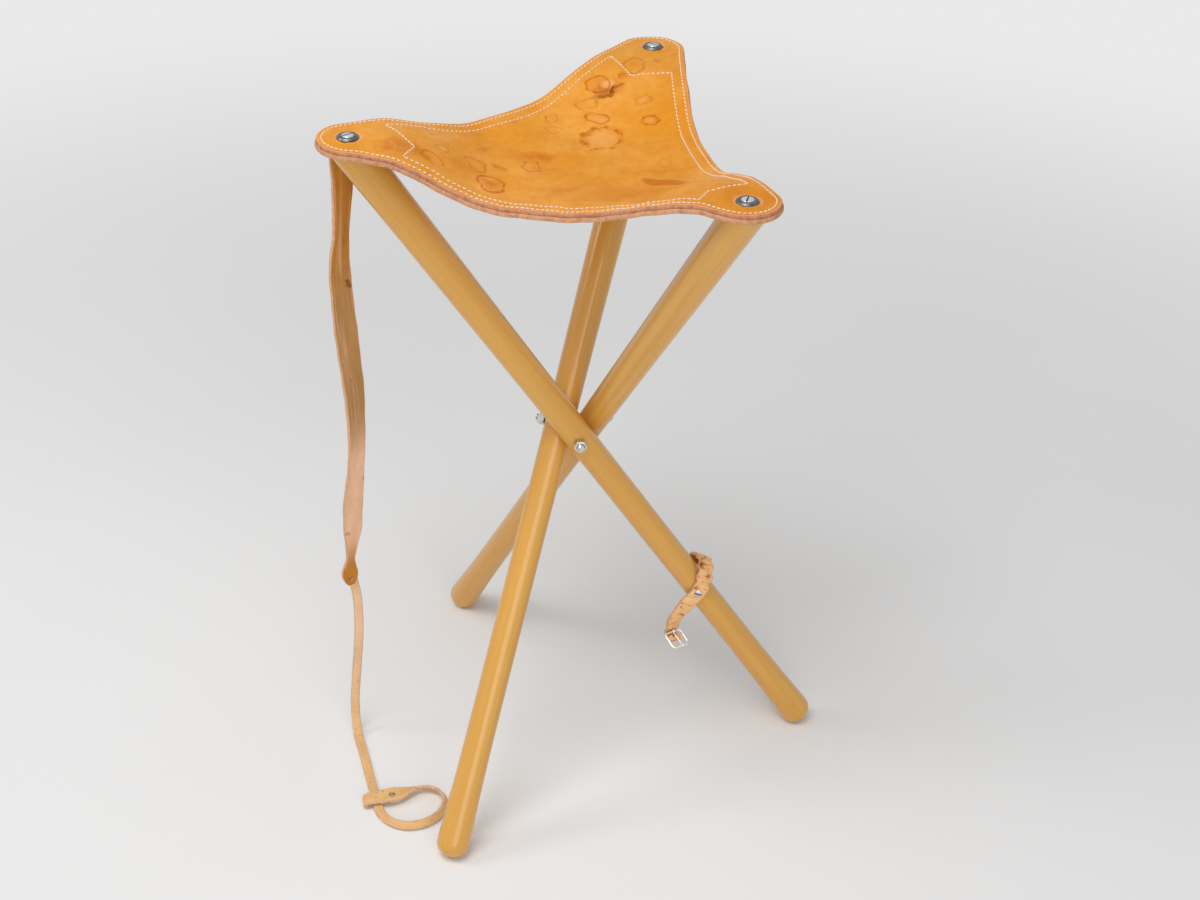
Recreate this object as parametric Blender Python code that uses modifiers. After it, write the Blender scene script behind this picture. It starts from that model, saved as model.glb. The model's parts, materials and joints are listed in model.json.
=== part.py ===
"""Three-legged folding stool: turned wooden legs on a three-way bolt, carrying a leather sling seat.

Each leg turns about its own horizontal arm of the bolt. Leg axes: X out along the bolt's arm,
Z up along the leg. Stool axes: +Z up from the floor, with the left corner towards -X.
"""

import math

import bmesh
import bpy
import numpy as np
from mathutils import Matrix, Vector

MM = 0.001

# Gap kept between pieces that touch, and the running gap round a shaft
CLEARANCE = 0.3 * MM

# Legs, with lengths along the leg from its pivot
TILT = math.radians(34.1)
LEG_ABOVE = 320.5 * MM
LEG_BELOW = 378.5 * MM
LEG_TOP_RADIUS = 15.5 * MM
LEG_PIVOT_RADIUS = 12.25 * MM
LEG_WAIST_RADIUS = 12.0 * MM
LEG_WAIST_BELOW = 265 * MM
LEG_FOOT_RADIUS = 13.8 * MM
FOOT_ROUND = 12 * MM
FOOT_WEAR = 0.5 * MM

# Three-way bolt and its nuts
BOLT_RADIUS = 3 * MM
LEG_OFFSET = 15.9 * MM
NUT_ACROSS_FLATS = 10 * MM
NUT_HEIGHT = 6 * MM
NUT_CHAMFER = 0.8 * MM
BOLT_PROUD = 3 * MM
BOLT_POINT = 0.8 * MM

# Seat leather
LEATHER = 3.1 * MM
LINING = 3.1 * MM
SEAM_GAP = 0.7 * MM
LINING_DROP = 0.35 * MM
LOBE_RADIUS = 27 * MM
LOBE_INSET = 3 * MM
EDGE_REACH = 98 * MM
CENTRE_DIP = 36 * MM
FRONT_EDGE_DIP = 28.5 * MM
LEFT_EDGE_DIP = 22.5 * MM
RIGHT_EDGE_DIP = 26 * MM
LEFT_CORNER_FLAT = 28 * MM
BACK_CORNER_FLAT = 50 * MM
RIGHT_CORNER_FLAT = 28 * MM
SHOULDER_RADIUS = 205 * MM
LINING_BAND = 16 * MM
CHEVRON_POINT = 50 * MM
CHEVRON_WINGS = 29 * MM
CHEVRON_HALF = 26 * MM

# Corner screws and cup washers
SCREW_RADIUS = 2.25 * MM
SCREW_IN_WOOD = 20 * MM
SCREW_HEAD_RADIUS = 4.9 * MM
SCREW_HEAD_CONE = 1.8 * MM
SCREW_HEAD_DOME = 1 * MM
WASHER_RADIUS = 8.7 * MM
WASHER_HEIGHT = 2.8 * MM
WASHER_FLAT = 0.6 * MM

# Carrying strap and thong
STRAP_WIDTH = 20 * MM
STRAP_THICK = 2.8 * MM
STRAP_HOLE_RADIUS = 2 * MM
THONG_WIDTH = 8 * MM
THONG_THICK = 3 * MM
TAB_HOLE_RADIUS = 2.6 * MM

# Buckle strap on the left leg
BUCKLE_STRAP_BELOW = 190 * MM
BUCKLE_STRAP_WIDTH = 14 * MM
BUCKLE_STRAP_THICK = 2.5 * MM
BUCKLE_STRAP_SLANT = math.radians(31)
NAIL_RADIUS = 1.6 * MM
NAIL_IN_WOOD = 14 * MM
NAIL_HEAD_RADIUS = 3.6 * MM
NAIL_HEAD_HEIGHT = 1.8 * MM
BUCKLE_WIRE_RADIUS = 1.1 * MM
BUCKLE_SIDE_GAP = 1 * MM
BUCKLE_LENGTH = 15.5 * MM
BUCKLE_CORNER = 3 * MM
PRONG_WIRE_RADIUS = 0.8 * MM
PRONG_OVERHANG = 1 * MM

# Fineness of the round and soft shapes
LEG_SIDES = 28
LEG_RINGS = 5
FOOT_RINGS = 6
BOLT_SIDES = 16
TURNED_SIDES = 24
LOBE_STEPS = 10
EDGE_STEPS = 14
SEAT_RINGS = (0, 0.25, 0.48, 0.66, 0.77, 0.86, 0.93, 1)
LINING_RINGS = 4
LINING_STEP = 0.012
STRAP_SPAN_STEPS = 4
STRAP_COLUMNS = 2

# The corners go round clockwise seen from above, and name the legs that carry them
CORNERS = ("left", "back", "right")
LEFT, BACK, RIGHT = range(3)
FIRST_ARM = math.radians(-90)
THIRD = 2 * math.pi / 3

# Heights above the floor
FOOT_DROP = math.hypot(LEG_FOOT_RADIUS * math.sin(TILT), FOOT_ROUND * math.cos(TILT))
HUB_HEIGHT = (LEG_BELOW - FOOT_ROUND) * math.cos(TILT) + FOOT_DROP - FOOT_WEAR
LEG_TOP_HEIGHT = HUB_HEIGHT + LEG_ABOVE * math.cos(TILT)
SEAT_STACK = CLEARANCE + LINING + SEAM_GAP + LEATHER
SEAT_HEIGHT = LEG_TOP_HEIGHT + SEAT_STACK

# Places in plan
LEG_REACH = LEG_ABOVE * math.sin(TILT)
CORNER_RADIUS = math.hypot(LEG_OFFSET, LEG_REACH)
CORNER_LAG = math.atan2(LEG_REACH, LEG_OFFSET)
LOBE_CENTRE = CORNER_RADIUS - LOBE_INSET


def arm_azimuth(corner):
    """Direction of a bolt arm in plan."""
    return FIRST_ARM - THIRD * corner


def corner_azimuth(corner):
    """Direction of a seat corner in plan."""
    return arm_azimuth(corner) - CORNER_LAG


def leg_matrix(corner):
    """Leg axes at rest: origin on the bolt arm, X out along the arm, Z up the leg."""
    turn = Matrix.Rotation(arm_azimuth(corner), 4, "Z")
    lean = Matrix.Rotation(TILT, 4, "X")
    hub = Matrix.Translation((0, 0, HUB_HEIGHT))
    return hub @ turn @ Matrix.Translation((LEG_OFFSET, 0, 0)) @ lean


def corner_matrix(corner, height):
    """Upright axes over a seat corner, X pointing away from the stool's middle."""
    turn = Matrix.Rotation(corner_azimuth(corner), 4, "Z")
    return turn @ Matrix.Translation((CORNER_RADIUS, 0, height))


def through_rows(rows, steps):
    """Rows of numbers on a smooth curve through the given rows."""
    rows = np.array(rows, dtype=float)
    padded = np.vstack([2 * rows[0] - rows[1], rows, 2 * rows[-1] - rows[-2]])
    result = []
    for a, b, c, d in zip(padded, padded[1:], padded[2:], padded[3:]):
        for t in np.arange(steps) / steps:
            bend = (2 * a - 5 * b + 4 * c - d) * t ** 2 + (3 * b - a - 3 * c + d) * t ** 3
            result.append((2 * b + (c - a) * t + bend) / 2)
    result.append(rows[-1])
    return np.array(result)


# Scene, collections and materials

for old in list(bpy.data.objects):
    bpy.data.objects.remove(old, do_unlink=True)


def new_collection(name):
    collection = bpy.data.collections.new(name)
    bpy.context.scene.collection.children.link(collection)
    return collection


PARTS = new_collection("folding_stool")
CUTTERS = new_collection("cutters")


def new_material(name, colour, roughness, metallic=0.0):
    material = bpy.data.materials.new(name)
    material.use_nodes = True
    shader = material.node_tree.nodes["Principled BSDF"]
    shader.inputs["Base Color"].default_value = (*colour, 1)
    shader.inputs["Roughness"].default_value = roughness
    shader.inputs["Metallic"].default_value = metallic
    return material


WOOD = new_material("lacquered_wood", (0.66, 0.36, 0.09), 0.3)
SEAT_HIDE = new_material("seat_leather", (0.60, 0.25, 0.04), 0.45)
STRAP_HIDE = new_material("strap_leather", (0.55, 0.33, 0.14), 0.7)
STEEL = new_material("washer_steel", (0.30, 0.31, 0.31), 0.35, 1.0)
ZINC = new_material("bright_zinc", (0.75, 0.75, 0.75), 0.25, 1.0)


def new_empty(name, matrix, parent=None):
    empty = bpy.data.objects.new(name, None)
    PARTS.objects.link(empty)
    empty.parent = parent
    empty.matrix_local = matrix
    return empty


STOOL = new_empty("stool", Matrix.Identity(4))
PIVOTS = [new_empty(f"pivot_{name}", leg_matrix(k), STOOL) for k, name in enumerate(CORNERS)]


# Shared modelling tools

def place(name, data, matrix, parent, material):
    """A part: its mesh or curve, linked, parented and given its material."""
    part = bpy.data.objects.new(name, data)
    PARTS.objects.link(part)
    part.parent = parent
    part.matrix_local = matrix
    data.materials.append(material)
    return part


def as_cutter(cutter):
    """Keep a shape as a tool for a Boolean only."""
    for collection in cutter.users_collection:
        collection.objects.unlink(cutter)
    CUTTERS.objects.link(cutter)
    cutter.hide_render = True
    cutter.display_type = "WIRE"
    return cutter


def boolean(part, tool, operation="DIFFERENCE"):
    modifier = part.modifiers.new(tool.name, "BOOLEAN")
    modifier.object = tool
    modifier.operation = operation
    modifier.solver = "EXACT"


def bevel(part, width, segments=1):
    modifier = part.modifiers.new("edges", "BEVEL")
    modifier.width = width
    modifier.segments = segments
    modifier.limit_method = "ANGLE"


def solidify(part, thickness, offset):
    modifier = part.modifiers.new("thickness", "SOLIDIFY")
    modifier.thickness = thickness
    modifier.offset = offset


def mesh_from(name, bm):
    mesh = bpy.data.meshes.new(name)
    bm.to_mesh(mesh)
    bm.free()
    return mesh


def rod_mesh(name, radius, low, high, sides):
    """Round or prismatic bar along Z, from low to high."""
    bm = bmesh.new()
    middle = Matrix.Translation((0, 0, (low + high) / 2))
    bmesh.ops.create_cone(bm, cap_ends=True, segments=sides, radius1=radius, radius2=radius,
                          depth=high - low, matrix=middle)
    return mesh_from(name, bm)


def block_mesh(name, size):
    """Box centred on its origin."""
    bm = bmesh.new()
    bmesh.ops.create_cube(bm, size=1, matrix=Matrix.Diagonal((*size, 1)))
    return mesh_from(name, bm)


def turned(name, profile, matrix, parent, material, sides=TURNED_SIDES, ring=False):
    """Turned piece about Z from (radius, height) points that run down its outer side."""
    mesh = bpy.data.meshes.new(name)
    points = [(radius, 0, height) for radius, height in profile]
    edges = [(i, i + 1) for i in range(len(points) - 1)]
    if ring:
        edges.append((len(points) - 1, 0))
    mesh.from_pydata(points, edges, [])
    part = place(name, mesh, matrix, parent, material)
    screw = part.modifiers.new("turning", "SCREW")
    screw.steps = sides
    screw.render_steps = sides
    screw.use_merge_vertices = True
    screw.merge_threshold = 0.00001
    screw.use_smooth_shade = True
    return part


def drill(name, radius, low, high, matrix, parent, sides=BOLT_SIDES):
    """Cutter for a round hole along Z of the given axes."""
    return as_cutter(place(name, rod_mesh(name, radius, low, high, sides), matrix, parent, STEEL))


def ribbon(name, rows, thickness, parent, material):
    """Flat strap along rows of centre point, side direction and width."""
    stations = through_rows(rows, STRAP_SPAN_STEPS)
    points = [Vector(row[0:3]) for row in stations]
    last = len(points) - 1
    bm = bmesh.new()
    bmesh.ops.create_grid(bm, x_segments=last, y_segments=STRAP_COLUMNS, size=0.5)
    for vertex in bm.verts:
        i = round((vertex.co.x + 0.5) * last)
        along = (points[min(i + 1, last)] - points[max(i - 1, 0)]).normalized()
        side = Vector(stations[i][3:6])
        side = (side - along * side.dot(along)).normalized()
        vertex.co = points[i] + side * vertex.co.y * stations[i][6]
    part = place(name, mesh_from(name, bm), Matrix.Identity(4), parent, material)
    solidify(part, thickness, 0)
    return part


# Legs

def leg_stations():
    """Leg outline from above its top down to the start of the rounded foot: height and radius."""
    overlength = 2 * LEG_TOP_RADIUS * math.tan(TILT)
    shaft = through_rows([(LEG_ABOVE, LEG_TOP_RADIUS), (0, LEG_PIVOT_RADIUS),
                          (-LEG_WAIST_BELOW, LEG_WAIST_RADIUS),
                          (FOOT_ROUND - LEG_BELOW, LEG_FOOT_RADIUS)], LEG_RINGS)
    return np.vstack([(LEG_ABOVE + overlength, LEG_TOP_RADIUS), shaft])


def leg_radius(height):
    stations = leg_stations()[::-1]
    return float(np.interp(height, stations[:, 0], stations[:, 1]))


def leg_profile():
    stations = leg_stations()
    profile = [(0, stations[0][0])] + [(radius, height) for height, radius in stations]
    for ring in range(1, FOOT_RINGS):
        angle = math.pi / 2 * ring / FOOT_RINGS
        height = FOOT_ROUND - LEG_BELOW - FOOT_ROUND * math.sin(angle)
        profile.append((LEG_FOOT_RADIUS * math.cos(angle), height))
    return profile + [(0, -LEG_BELOW)]


def saw(name, height, up):
    """Wide block that takes off everything above, or below, a height over the floor."""
    size = (4 * LEG_BELOW, 4 * LEG_BELOW, 4 * LEG_TOP_RADIUS)
    offset = size[2] / 2 if up else -size[2] / 2
    matrix = Matrix.Translation((0, 0, height + offset))
    return as_cutter(place(name, block_mesh(name, size), matrix, STOOL, STEEL))


# The strap's end lies on the left leg's top, so that leg is cut lower by the strap's thickness
STRAP_STEP = STRAP_THICK + CLEARANCE

FLOOR_SAW = saw("floor_saw", 0, up=False)
# Each drill is turned a little, so that no corner of its hole lies on the line from the seat's middle
DRILL_TURN = Matrix.Rotation(math.pi / (2 * BOLT_SIDES), 4, "Z")
SCREW_DRILLS = [
    drill(f"screw_drill_{name}", SCREW_RADIUS + CLEARANCE, LEG_TOP_HEIGHT - SCREW_IN_WOOD - CLEARANCE,
          SEAT_HEIGHT + LEATHER, corner_matrix(k, 0) @ DRILL_TURN, STOOL)
    for k, name in enumerate(CORNERS)]
ALONG_ARM = Matrix.Rotation(math.pi / 2, 4, "Y")


def make_leg(corner):
    name = CORNERS[corner]
    leg = turned(f"leg_{name}", leg_profile(), Matrix.Identity(4), PIVOTS[corner], WOOD, LEG_SIDES)
    top = LEG_TOP_HEIGHT - (STRAP_STEP if corner == LEFT else 0)
    boolean(leg, saw(f"top_saw_{name}", top, up=True))
    boolean(leg, FLOOR_SAW)
    boolean(leg, drill(f"bolt_drill_{name}", BOLT_RADIUS + CLEARANCE, -2 * LEG_PIVOT_RADIUS,
                       2 * LEG_PIVOT_RADIUS, ALONG_ARM, PIVOTS[corner]))
    boolean(leg, SCREW_DRILLS[corner])
    return leg


LEGS = [make_leg(corner) for corner in range(len(CORNERS))]


# Three-way bolt and nuts

NUT_SEAT = LEG_OFFSET + LEG_PIVOT_RADIUS + CLEARANCE
ARM_LENGTH = NUT_SEAT + NUT_HEIGHT + BOLT_PROUD


def arm_axes(corner):
    """Axes at the bolt's middle with Z out along an arm."""
    turn = Matrix.Rotation(arm_azimuth(corner), 4, "Z")
    return Matrix.Translation((0, 0, HUB_HEIGHT)) @ turn @ ALONG_ARM


def arm_profile():
    return [(0, ARM_LENGTH), (BOLT_RADIUS - BOLT_POINT, ARM_LENGTH),
            (BOLT_RADIUS, ARM_LENGTH - BOLT_POINT), (BOLT_RADIUS, -BOLT_RADIUS), (0, -BOLT_RADIUS)]


bolt = turned("three_way_bolt", arm_profile(), arm_axes(LEFT), STOOL, ZINC, BOLT_SIDES)
for corner in (BACK, RIGHT):
    arm = turned(f"bolt_arm_{CORNERS[corner]}", arm_profile(), arm_axes(corner), STOOL, ZINC, BOLT_SIDES)
    boolean(bolt, as_cutter(arm), "UNION")


def make_nut(corner):
    name = f"pivot_nut_{CORNERS[corner]}"
    hexagon = rod_mesh(name, NUT_ACROSS_FLATS / math.sqrt(3), NUT_SEAT, NUT_SEAT + NUT_HEIGHT, 6)
    nut = place(name, hexagon, arm_axes(corner), STOOL, ZINC)
    bevel(nut, NUT_CHAMFER)
    boolean(nut, drill(f"nut_drill_{CORNERS[corner]}", BOLT_RADIUS + CLEARANCE, 0, 2 * ARM_LENGTH,
                       arm_axes(corner), STOOL))


for corner in range(len(CORNERS)):
    make_nut(corner)


# Seat: three lobes joined by hollow edges, sagging between the corners

EDGE_RADIUS = ((EDGE_REACH ** 2 + LOBE_CENTRE ** 2 - EDGE_REACH * LOBE_CENTRE - LOBE_RADIUS ** 2)
               / (LOBE_CENTRE + 2 * LOBE_RADIUS - 2 * EDGE_REACH))
EDGE_CENTRE = EDGE_REACH + EDGE_RADIUS
LOBE_SPAN = math.atan2(EDGE_CENTRE * math.sin(THIRD / 2), EDGE_CENTRE * math.cos(THIRD / 2) - LOBE_CENTRE)
EDGE_SPAN = LOBE_SPAN - THIRD / 2


def polar(radius, angle):
    return Vector((radius * math.cos(angle), radius * math.sin(angle), 0))


def seat_outline():
    """Points round the seat in plan, anticlockwise from the left lobe, each lobe then its edge."""
    points = []
    for lobe in range(len(CORNERS)):
        azimuth = corner_azimuth(LEFT) + THIRD * lobe
        for step in range(LOBE_STEPS):
            angle = azimuth + LOBE_SPAN * (2 * step / LOBE_STEPS - 1)
            points.append(polar(LOBE_CENTRE, azimuth) + polar(LOBE_RADIUS, angle))
        middle = azimuth + THIRD / 2
        for step in range(EDGE_STEPS):
            angle = middle + math.pi + EDGE_SPAN * (1 - 2 * step / EDGE_STEPS)
            points.append(polar(EDGE_CENTRE, middle) + polar(EDGE_RADIUS, angle))
    return points


def lining_inner_radius(direction):
    """Distance from the middle to the lining's inner edge: beside an edge, or at a chevron."""
    azimuth = math.atan2(direction.y, direction.x)
    off_lobe = (azimuth - corner_azimuth(LEFT) + THIRD / 2) % THIRD - THIRD / 2
    to_edge = THIRD / 2 - abs(off_lobe)
    room = (EDGE_RADIUS + LINING_BAND) ** 2 - (EDGE_CENTRE * math.sin(to_edge)) ** 2
    beside = EDGE_CENTRE * math.cos(to_edge) - math.sqrt(room) if room > 0 else math.inf
    slope = (CHEVRON_POINT - CHEVRON_WINGS) / CHEVRON_HALF
    facing = math.cos(off_lobe) - slope * abs(math.sin(off_lobe))
    chevron = (CORNER_RADIUS - CHEVRON_POINT) / facing if facing > 0 else math.inf
    return min(beside, chevron)


CORNER_FLATS = (LEFT_CORNER_FLAT, BACK_CORNER_FLAT, RIGHT_CORNER_FLAT)
OPPOSITE_EDGE_DIPS = (RIGHT_EDGE_DIP, FRONT_EDGE_DIP, LEFT_EDGE_DIP)


def seat_dip(x, y):
    """How far the seat sags below its corners, whose shoulders fall away sideways, at a place in plan."""
    nearness = 0
    dip = CENTRE_DIP
    for corner, (flat, edge_dip) in enumerate(zip(CORNER_FLATS, OPPOSITE_EDGE_DIPS)):
        outward = polar(1, corner_azimuth(corner))
        towards = x * outward.x + y * outward.y
        sideways = x * outward.y - y * outward.x
        level = towards - sideways ** 2 / SHOULDER_RADIUS
        nearness += max(level / (CORNER_RADIUS - flat), 0) ** 4
        dip += (edge_dip - CENTRE_DIP) * max(-towards / EDGE_REACH, 0) ** 2
    rise = min(max((3 * nearness ** 0.25 - 1) / 2, 0), 1)
    return dip * (1 - rise ** 2 * (2 - rise))


def seat_point(spot, depth):
    """Place under a spot in plan, at a depth below the seat's top face."""
    x, y, step = spot.x, spot.y, 1 * MM
    slope_x = (seat_dip(x + step, y) - seat_dip(x - step, y)) / (2 * step)
    slope_y = (seat_dip(x, y + step) - seat_dip(x, y - step)) / (2 * step)
    top = Vector((x, y, SEAT_HEIGHT - seat_dip(x, y)))
    return top - Vector((slope_x, slope_y, 1)).normalized() * depth


def chord_point(edge, share, depth):
    """Place a share of the way out to an outline point, on straight chords between the seat's rings."""
    outer = max(int(np.searchsorted(SEAT_RINGS, share)), 1)
    low, high = SEAT_RINGS[outer - 1], SEAT_RINGS[outer]
    return seat_point(edge * low, depth).lerp(seat_point(edge * high, depth), (share - low) / (high - low))


def seat_layer(name, ring_shares, depth, thickness, inner_drop=0):
    """Sagging leather layer: rings of points from ring_shares(outline point) of the way out.

    The layer's free inner edge, its first two rings, hangs lower by inner_drop.
    """
    outline = seat_outline()
    count = len(outline)
    rings = len(ring_shares(outline[0])) - 1
    bm = bmesh.new()
    bmesh.ops.create_grid(bm, x_segments=count, y_segments=rings, size=0.5)
    for vertex in bm.verts:
        edge = outline[round((vertex.co.x + 0.5) * count) % count]
        ring = round((vertex.co.y + 0.5) * rings)
        vertex.co = chord_point(edge, ring_shares(edge)[ring], depth + (inner_drop if ring < 2 else 0))
    bmesh.ops.remove_doubles(bm, verts=bm.verts, dist=0.00001)
    bm.normal_update()
    if sum(face.normal.z * face.calc_area() for face in bm.faces) < 0:
        bmesh.ops.reverse_faces(bm, faces=bm.faces)
    layer = place(name, mesh_from(name, bm), Matrix.Identity(4), STOOL, SEAT_HIDE)
    solidify(layer, thickness, -1)
    for tool in SCREW_DRILLS:
        boolean(layer, tool)


def lining_shares(edge):
    """Rings of the lining: its inner edge, then those of the leather's rings that lie outside that."""
    inner = lining_inner_radius(edge) / edge.length
    kept = SEAT_RINGS[-LINING_RINGS:]
    return [inner] + [max(ring, inner + LINING_STEP * (i + 1)) for i, ring in enumerate(kept)]


seat_layer("seat_leather", lambda edge: SEAT_RINGS, 0, LEATHER)
seat_layer("seat_lining", lining_shares, LEATHER + SEAM_GAP, LINING, LINING_DROP)


# Corner screws in their cup washers

SCREW_HOLE = SCREW_RADIUS + CLEARANCE
WASHER_SEAT = SEAT_HEIGHT + CLEARANCE
HEAD_TOP = WASHER_SEAT + WASHER_HEIGHT - WASHER_FLAT
CUP_RADIUS = SCREW_HEAD_RADIUS + CLEARANCE


def washer_profile():
    rim = WASHER_RADIUS - WASHER_FLAT
    lip = (WASHER_RADIUS + CUP_RADIUS) / 2
    return [(lip, WASHER_SEAT + WASHER_HEIGHT), (rim, WASHER_SEAT + 2 * WASHER_FLAT),
            (WASHER_RADIUS, WASHER_SEAT + WASHER_FLAT), (WASHER_RADIUS, WASHER_SEAT),
            (SCREW_HOLE, WASHER_SEAT), (SCREW_HOLE, HEAD_TOP - SCREW_HEAD_CONE),
            (CUP_RADIUS, HEAD_TOP)]


def screw_profile():
    tip = LEG_TOP_HEIGHT - SCREW_IN_WOOD
    return [(0, HEAD_TOP + SCREW_HEAD_DOME), (SCREW_HEAD_RADIUS / 2, HEAD_TOP + 0.75 * SCREW_HEAD_DOME),
            (SCREW_HEAD_RADIUS, HEAD_TOP), (SCREW_RADIUS, HEAD_TOP - SCREW_HEAD_CONE + CLEARANCE),
            (SCREW_RADIUS, tip + 2 * SCREW_RADIUS), (0, tip)]


for corner, name in enumerate(CORNERS):
    turned(f"cup_washer_{name}", washer_profile(), corner_matrix(corner, 0), STOOL, STEEL, ring=True)
    turned(f"corner_screw_{name}", screw_profile(), corner_matrix(corner, 0), STOOL, STEEL, BOLT_SIDES)


# Carrying strap: lies on the left leg's top, turns down behind it and hangs. Each row is the middle
# of the strap from the stool's centre line in millimetres, its height below the leg's cut top,
# the way that its right-hand side faces in plan in degrees, and its width

STRAP_BED = LEG_TOP_HEIGHT - STRAP_STEP + CLEARANCE + STRAP_THICK / 2
STRAP_ROUTE = [
    (-179, -29, 0, 5, 20), (-179.5, -22, 0, 5, 20), (-180.5, -12, 0, 8, 20), (-182.2, -2, 0, 11, 20),
    (-183.2, 2.8, -0.9, 13, 20), (-184.3, 6.6, -5, 15, 20), (-185, 8.4, -11, 17, 20),
    (-185.6, 8.8, -20, 21, 20),
    (-186, 8, -34, 30, 20), (-187, 6, -52, 42, 20), (-189, 5, -78, 52, 20), (-191.5, 4, -106, 40, 20),
    (-190.5, 3, -140, 30, 20), (-188, 2.5, -181, 27, 20), (-184.5, 2, -232, 40, 20),
    (-185, 2, -281, 50, 20), (-190, 2, -331, 38, 20), (-191.5, 2, -360, 33, 18),
    (-193, 2, -375, 30, 12), (-194.5, 2, -388, 28, 8), (-195.5, 2, -397, 24, 11.5),
    (-196, 2, -405, 20, 15), (-195.5, 2, -413, 20, 12.5), (-195, 2, -418, 20, 7)]
STRAP_HOLE_AT = (-195.5, 2, -411)
STRAP_HOLE_FACING = math.radians(20)


def strap_rows():
    rows = []
    for x, y, below, facing, width in STRAP_ROUTE:
        angle = math.radians(facing)
        share = STRAP_WIDTH / (20 * MM)
        rows.append((x * MM, y * MM, STRAP_BED + below * MM, math.cos(angle), math.sin(angle), 0,
                     width * MM * share))
    return rows


strap = ribbon("carry_strap", strap_rows(), STRAP_THICK, STOOL, STRAP_HIDE)
boolean(strap, SCREW_DRILLS[LEFT])
x, y, below = STRAP_HOLE_AT
punch_axes = (Matrix.Translation((x * MM, y * MM, STRAP_BED + below * MM))
              @ Matrix.Rotation(STRAP_HOLE_FACING, 4, "Z") @ Matrix.Rotation(math.pi / 2, 4, "X"))
boolean(strap, drill("strap_punch", STRAP_HOLE_RADIUS, -STRAP_THICK, STRAP_THICK, punch_axes, STOOL))


# Thong: hangs behind the strap's end, reaches the floor and ends in a tab that the thong runs under,
# so that it makes a slip loop. Each row is the middle from the stool's centre line and the floor in
# millimetres, the direction of its side, and its width

THONG_ROUTE = [
    (-195.8, 6.2, 176, 0.94, 0.34, 0, 8), (-194.2, 6.3, 167, 0.94, 0.34, 0, 8),
    (-191.8, 5.8, 155, 0.96, 0.28, 0, 8), (-190.2, 4.8, 138, 0.98, 0.2, 0, 8),
    (-190.8, 4, 105, 1, 0.1, 0, 8), (-194.2, 4, 66, 1, 0.1, 0, 8), (-197, 3, 34, 1, 0, 0, 8),
    (-197, -1, 14, 1, 0, 0, 8), (-196, -9, 5, 1, 0, 0, 8), (-194.5, -19, 2.3, 1, 0, 0, 8),
    (-191.8, -32, 2, 1, 0.2, 0, 8), (-188.6, -52, 2, 1, 0.2, 0, 8), (-184.6, -76, 2, 1, 0.18, 0, 8),
    (-181.4, -95, 2, 1, 0.2, 0, 8), (-178.6, -111, 2, 1, 0.3, 0, 8), (-174.5, -122, 2.6, 0.9, 0.5, 0.2, 8),
    (-167, -131.5, 4, 0.55, 0.6, 0.7, 7.5), (-155, -137.5, 4.8, 0.1, 0.5, 1, 7.5),
    (-140, -135.5, 4.8, -0.3, 0.5, 1, 7.5), (-127.5, -126.5, 4.8, -0.5, 0.3, 1, 7.5),
    (-121, -112.5, 4.8, -0.5, 0, 1, 7.5), (-123.5, -99, 5, -0.4, -0.4, 1, 7.5),
    (-133, -91.5, 5.2, -0.1, -0.6, 1, 7.5), (-144, -91, 5.6, 0.1, -0.8, 0.8, 8),
    (-152, -94, 6, 0.2, -1, 0.3, 10), (-160, -97.5, 6.2, 0.2, -1, 0, 15),
    (-168, -99.5, 6.2, 0.15, -1, 0, 17), (-176, -101, 6.2, 0.1, -1, 0, 15.5),
    (-188, -103, 6.2, 0.1, -1, 0, 13)]
TAB_HOLE_AT = (-166.5, -99.5, 6.2)


def thong_rows():
    share = THONG_WIDTH / (8 * MM)
    return [(x * MM, y * MM, z * MM, side_x, side_y, side_z, width * MM * share)
            for x, y, z, side_x, side_y, side_z, width in THONG_ROUTE]


thong = ribbon("strap_thong", thong_rows(), THONG_THICK, STOOL, STRAP_HIDE)
tab_axes = Matrix.Translation([value * MM for value in TAB_HOLE_AT])
boolean(thong, drill("tab_punch", TAB_HOLE_RADIUS, -0.75 * THONG_THICK, THONG_THICK, tab_axes, STOOL))


# Buckle strap: fixed by one round-headed nail to the left leg, in line with the leg's bolt. One end
# hangs and hooks round the buckle's bar, the other curls loosely round behind the leg

NAIL_PLACE = -BUCKLE_STRAP_BELOW
NAIL_LEG_RADIUS = leg_radius(NAIL_PLACE)
STRAP_LIFT = CLEARANCE + BUCKLE_STRAP_THICK / 2
UP_STRAP = Vector((0, math.cos(BUCKLE_STRAP_SLANT), math.sin(BUCKLE_STRAP_SLANT)))
STRAP_SIDE = Vector((0, math.sin(BUCKLE_STRAP_SLANT), -math.cos(BUCKLE_STRAP_SLANT)))
NAIL_AXIS = Vector((0, 0, NAIL_PLACE))

# Buckle attitude in leg axes: along its bar, and from the bar across the frame
BAR_ALONG = Vector((-0.54, 0.605, -0.585)).normalized()
FRAME_HINT = Vector((0.79, 0.098, -0.606))
FRAME_DOWN = (FRAME_HINT - BAR_ALONG * FRAME_HINT.dot(BAR_ALONG)).normalized()
FRAME_UP = FRAME_DOWN.cross(BAR_ALONG)
HOOK_RADIUS = BUCKLE_WIRE_RADIUS + CLEARANCE + BUCKLE_STRAP_THICK / 2

# Hanging end from the nail in leg axes, and the loose curl as angle round the leg in degrees,
# stand-off from the wood and drift to the side, in millimetres
HANG_ROUTE = [(-0.3, -10.8, -3.5), (-1, -22.5, -8.3), (-2.6, -33, -14.2)]
BAR_FROM_NAIL = Vector((-5.5, -42.1, -26.5)) * MM
HOOK_LEAD = 4 * MM
HOOK_TAIL = 8 * MM
SLOT_END = 3 * MM
CURL_ROUTE = [(28, 3, 0), (51, 6.3, -1), (71, 10, -2), (90, 13, -3.5), (107, 13.4, -5), (123, 11.8, -6.5),
              (141, 8.2, -8), (162, 4.8, -9), (190, 3.5, -9.5)]

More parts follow.
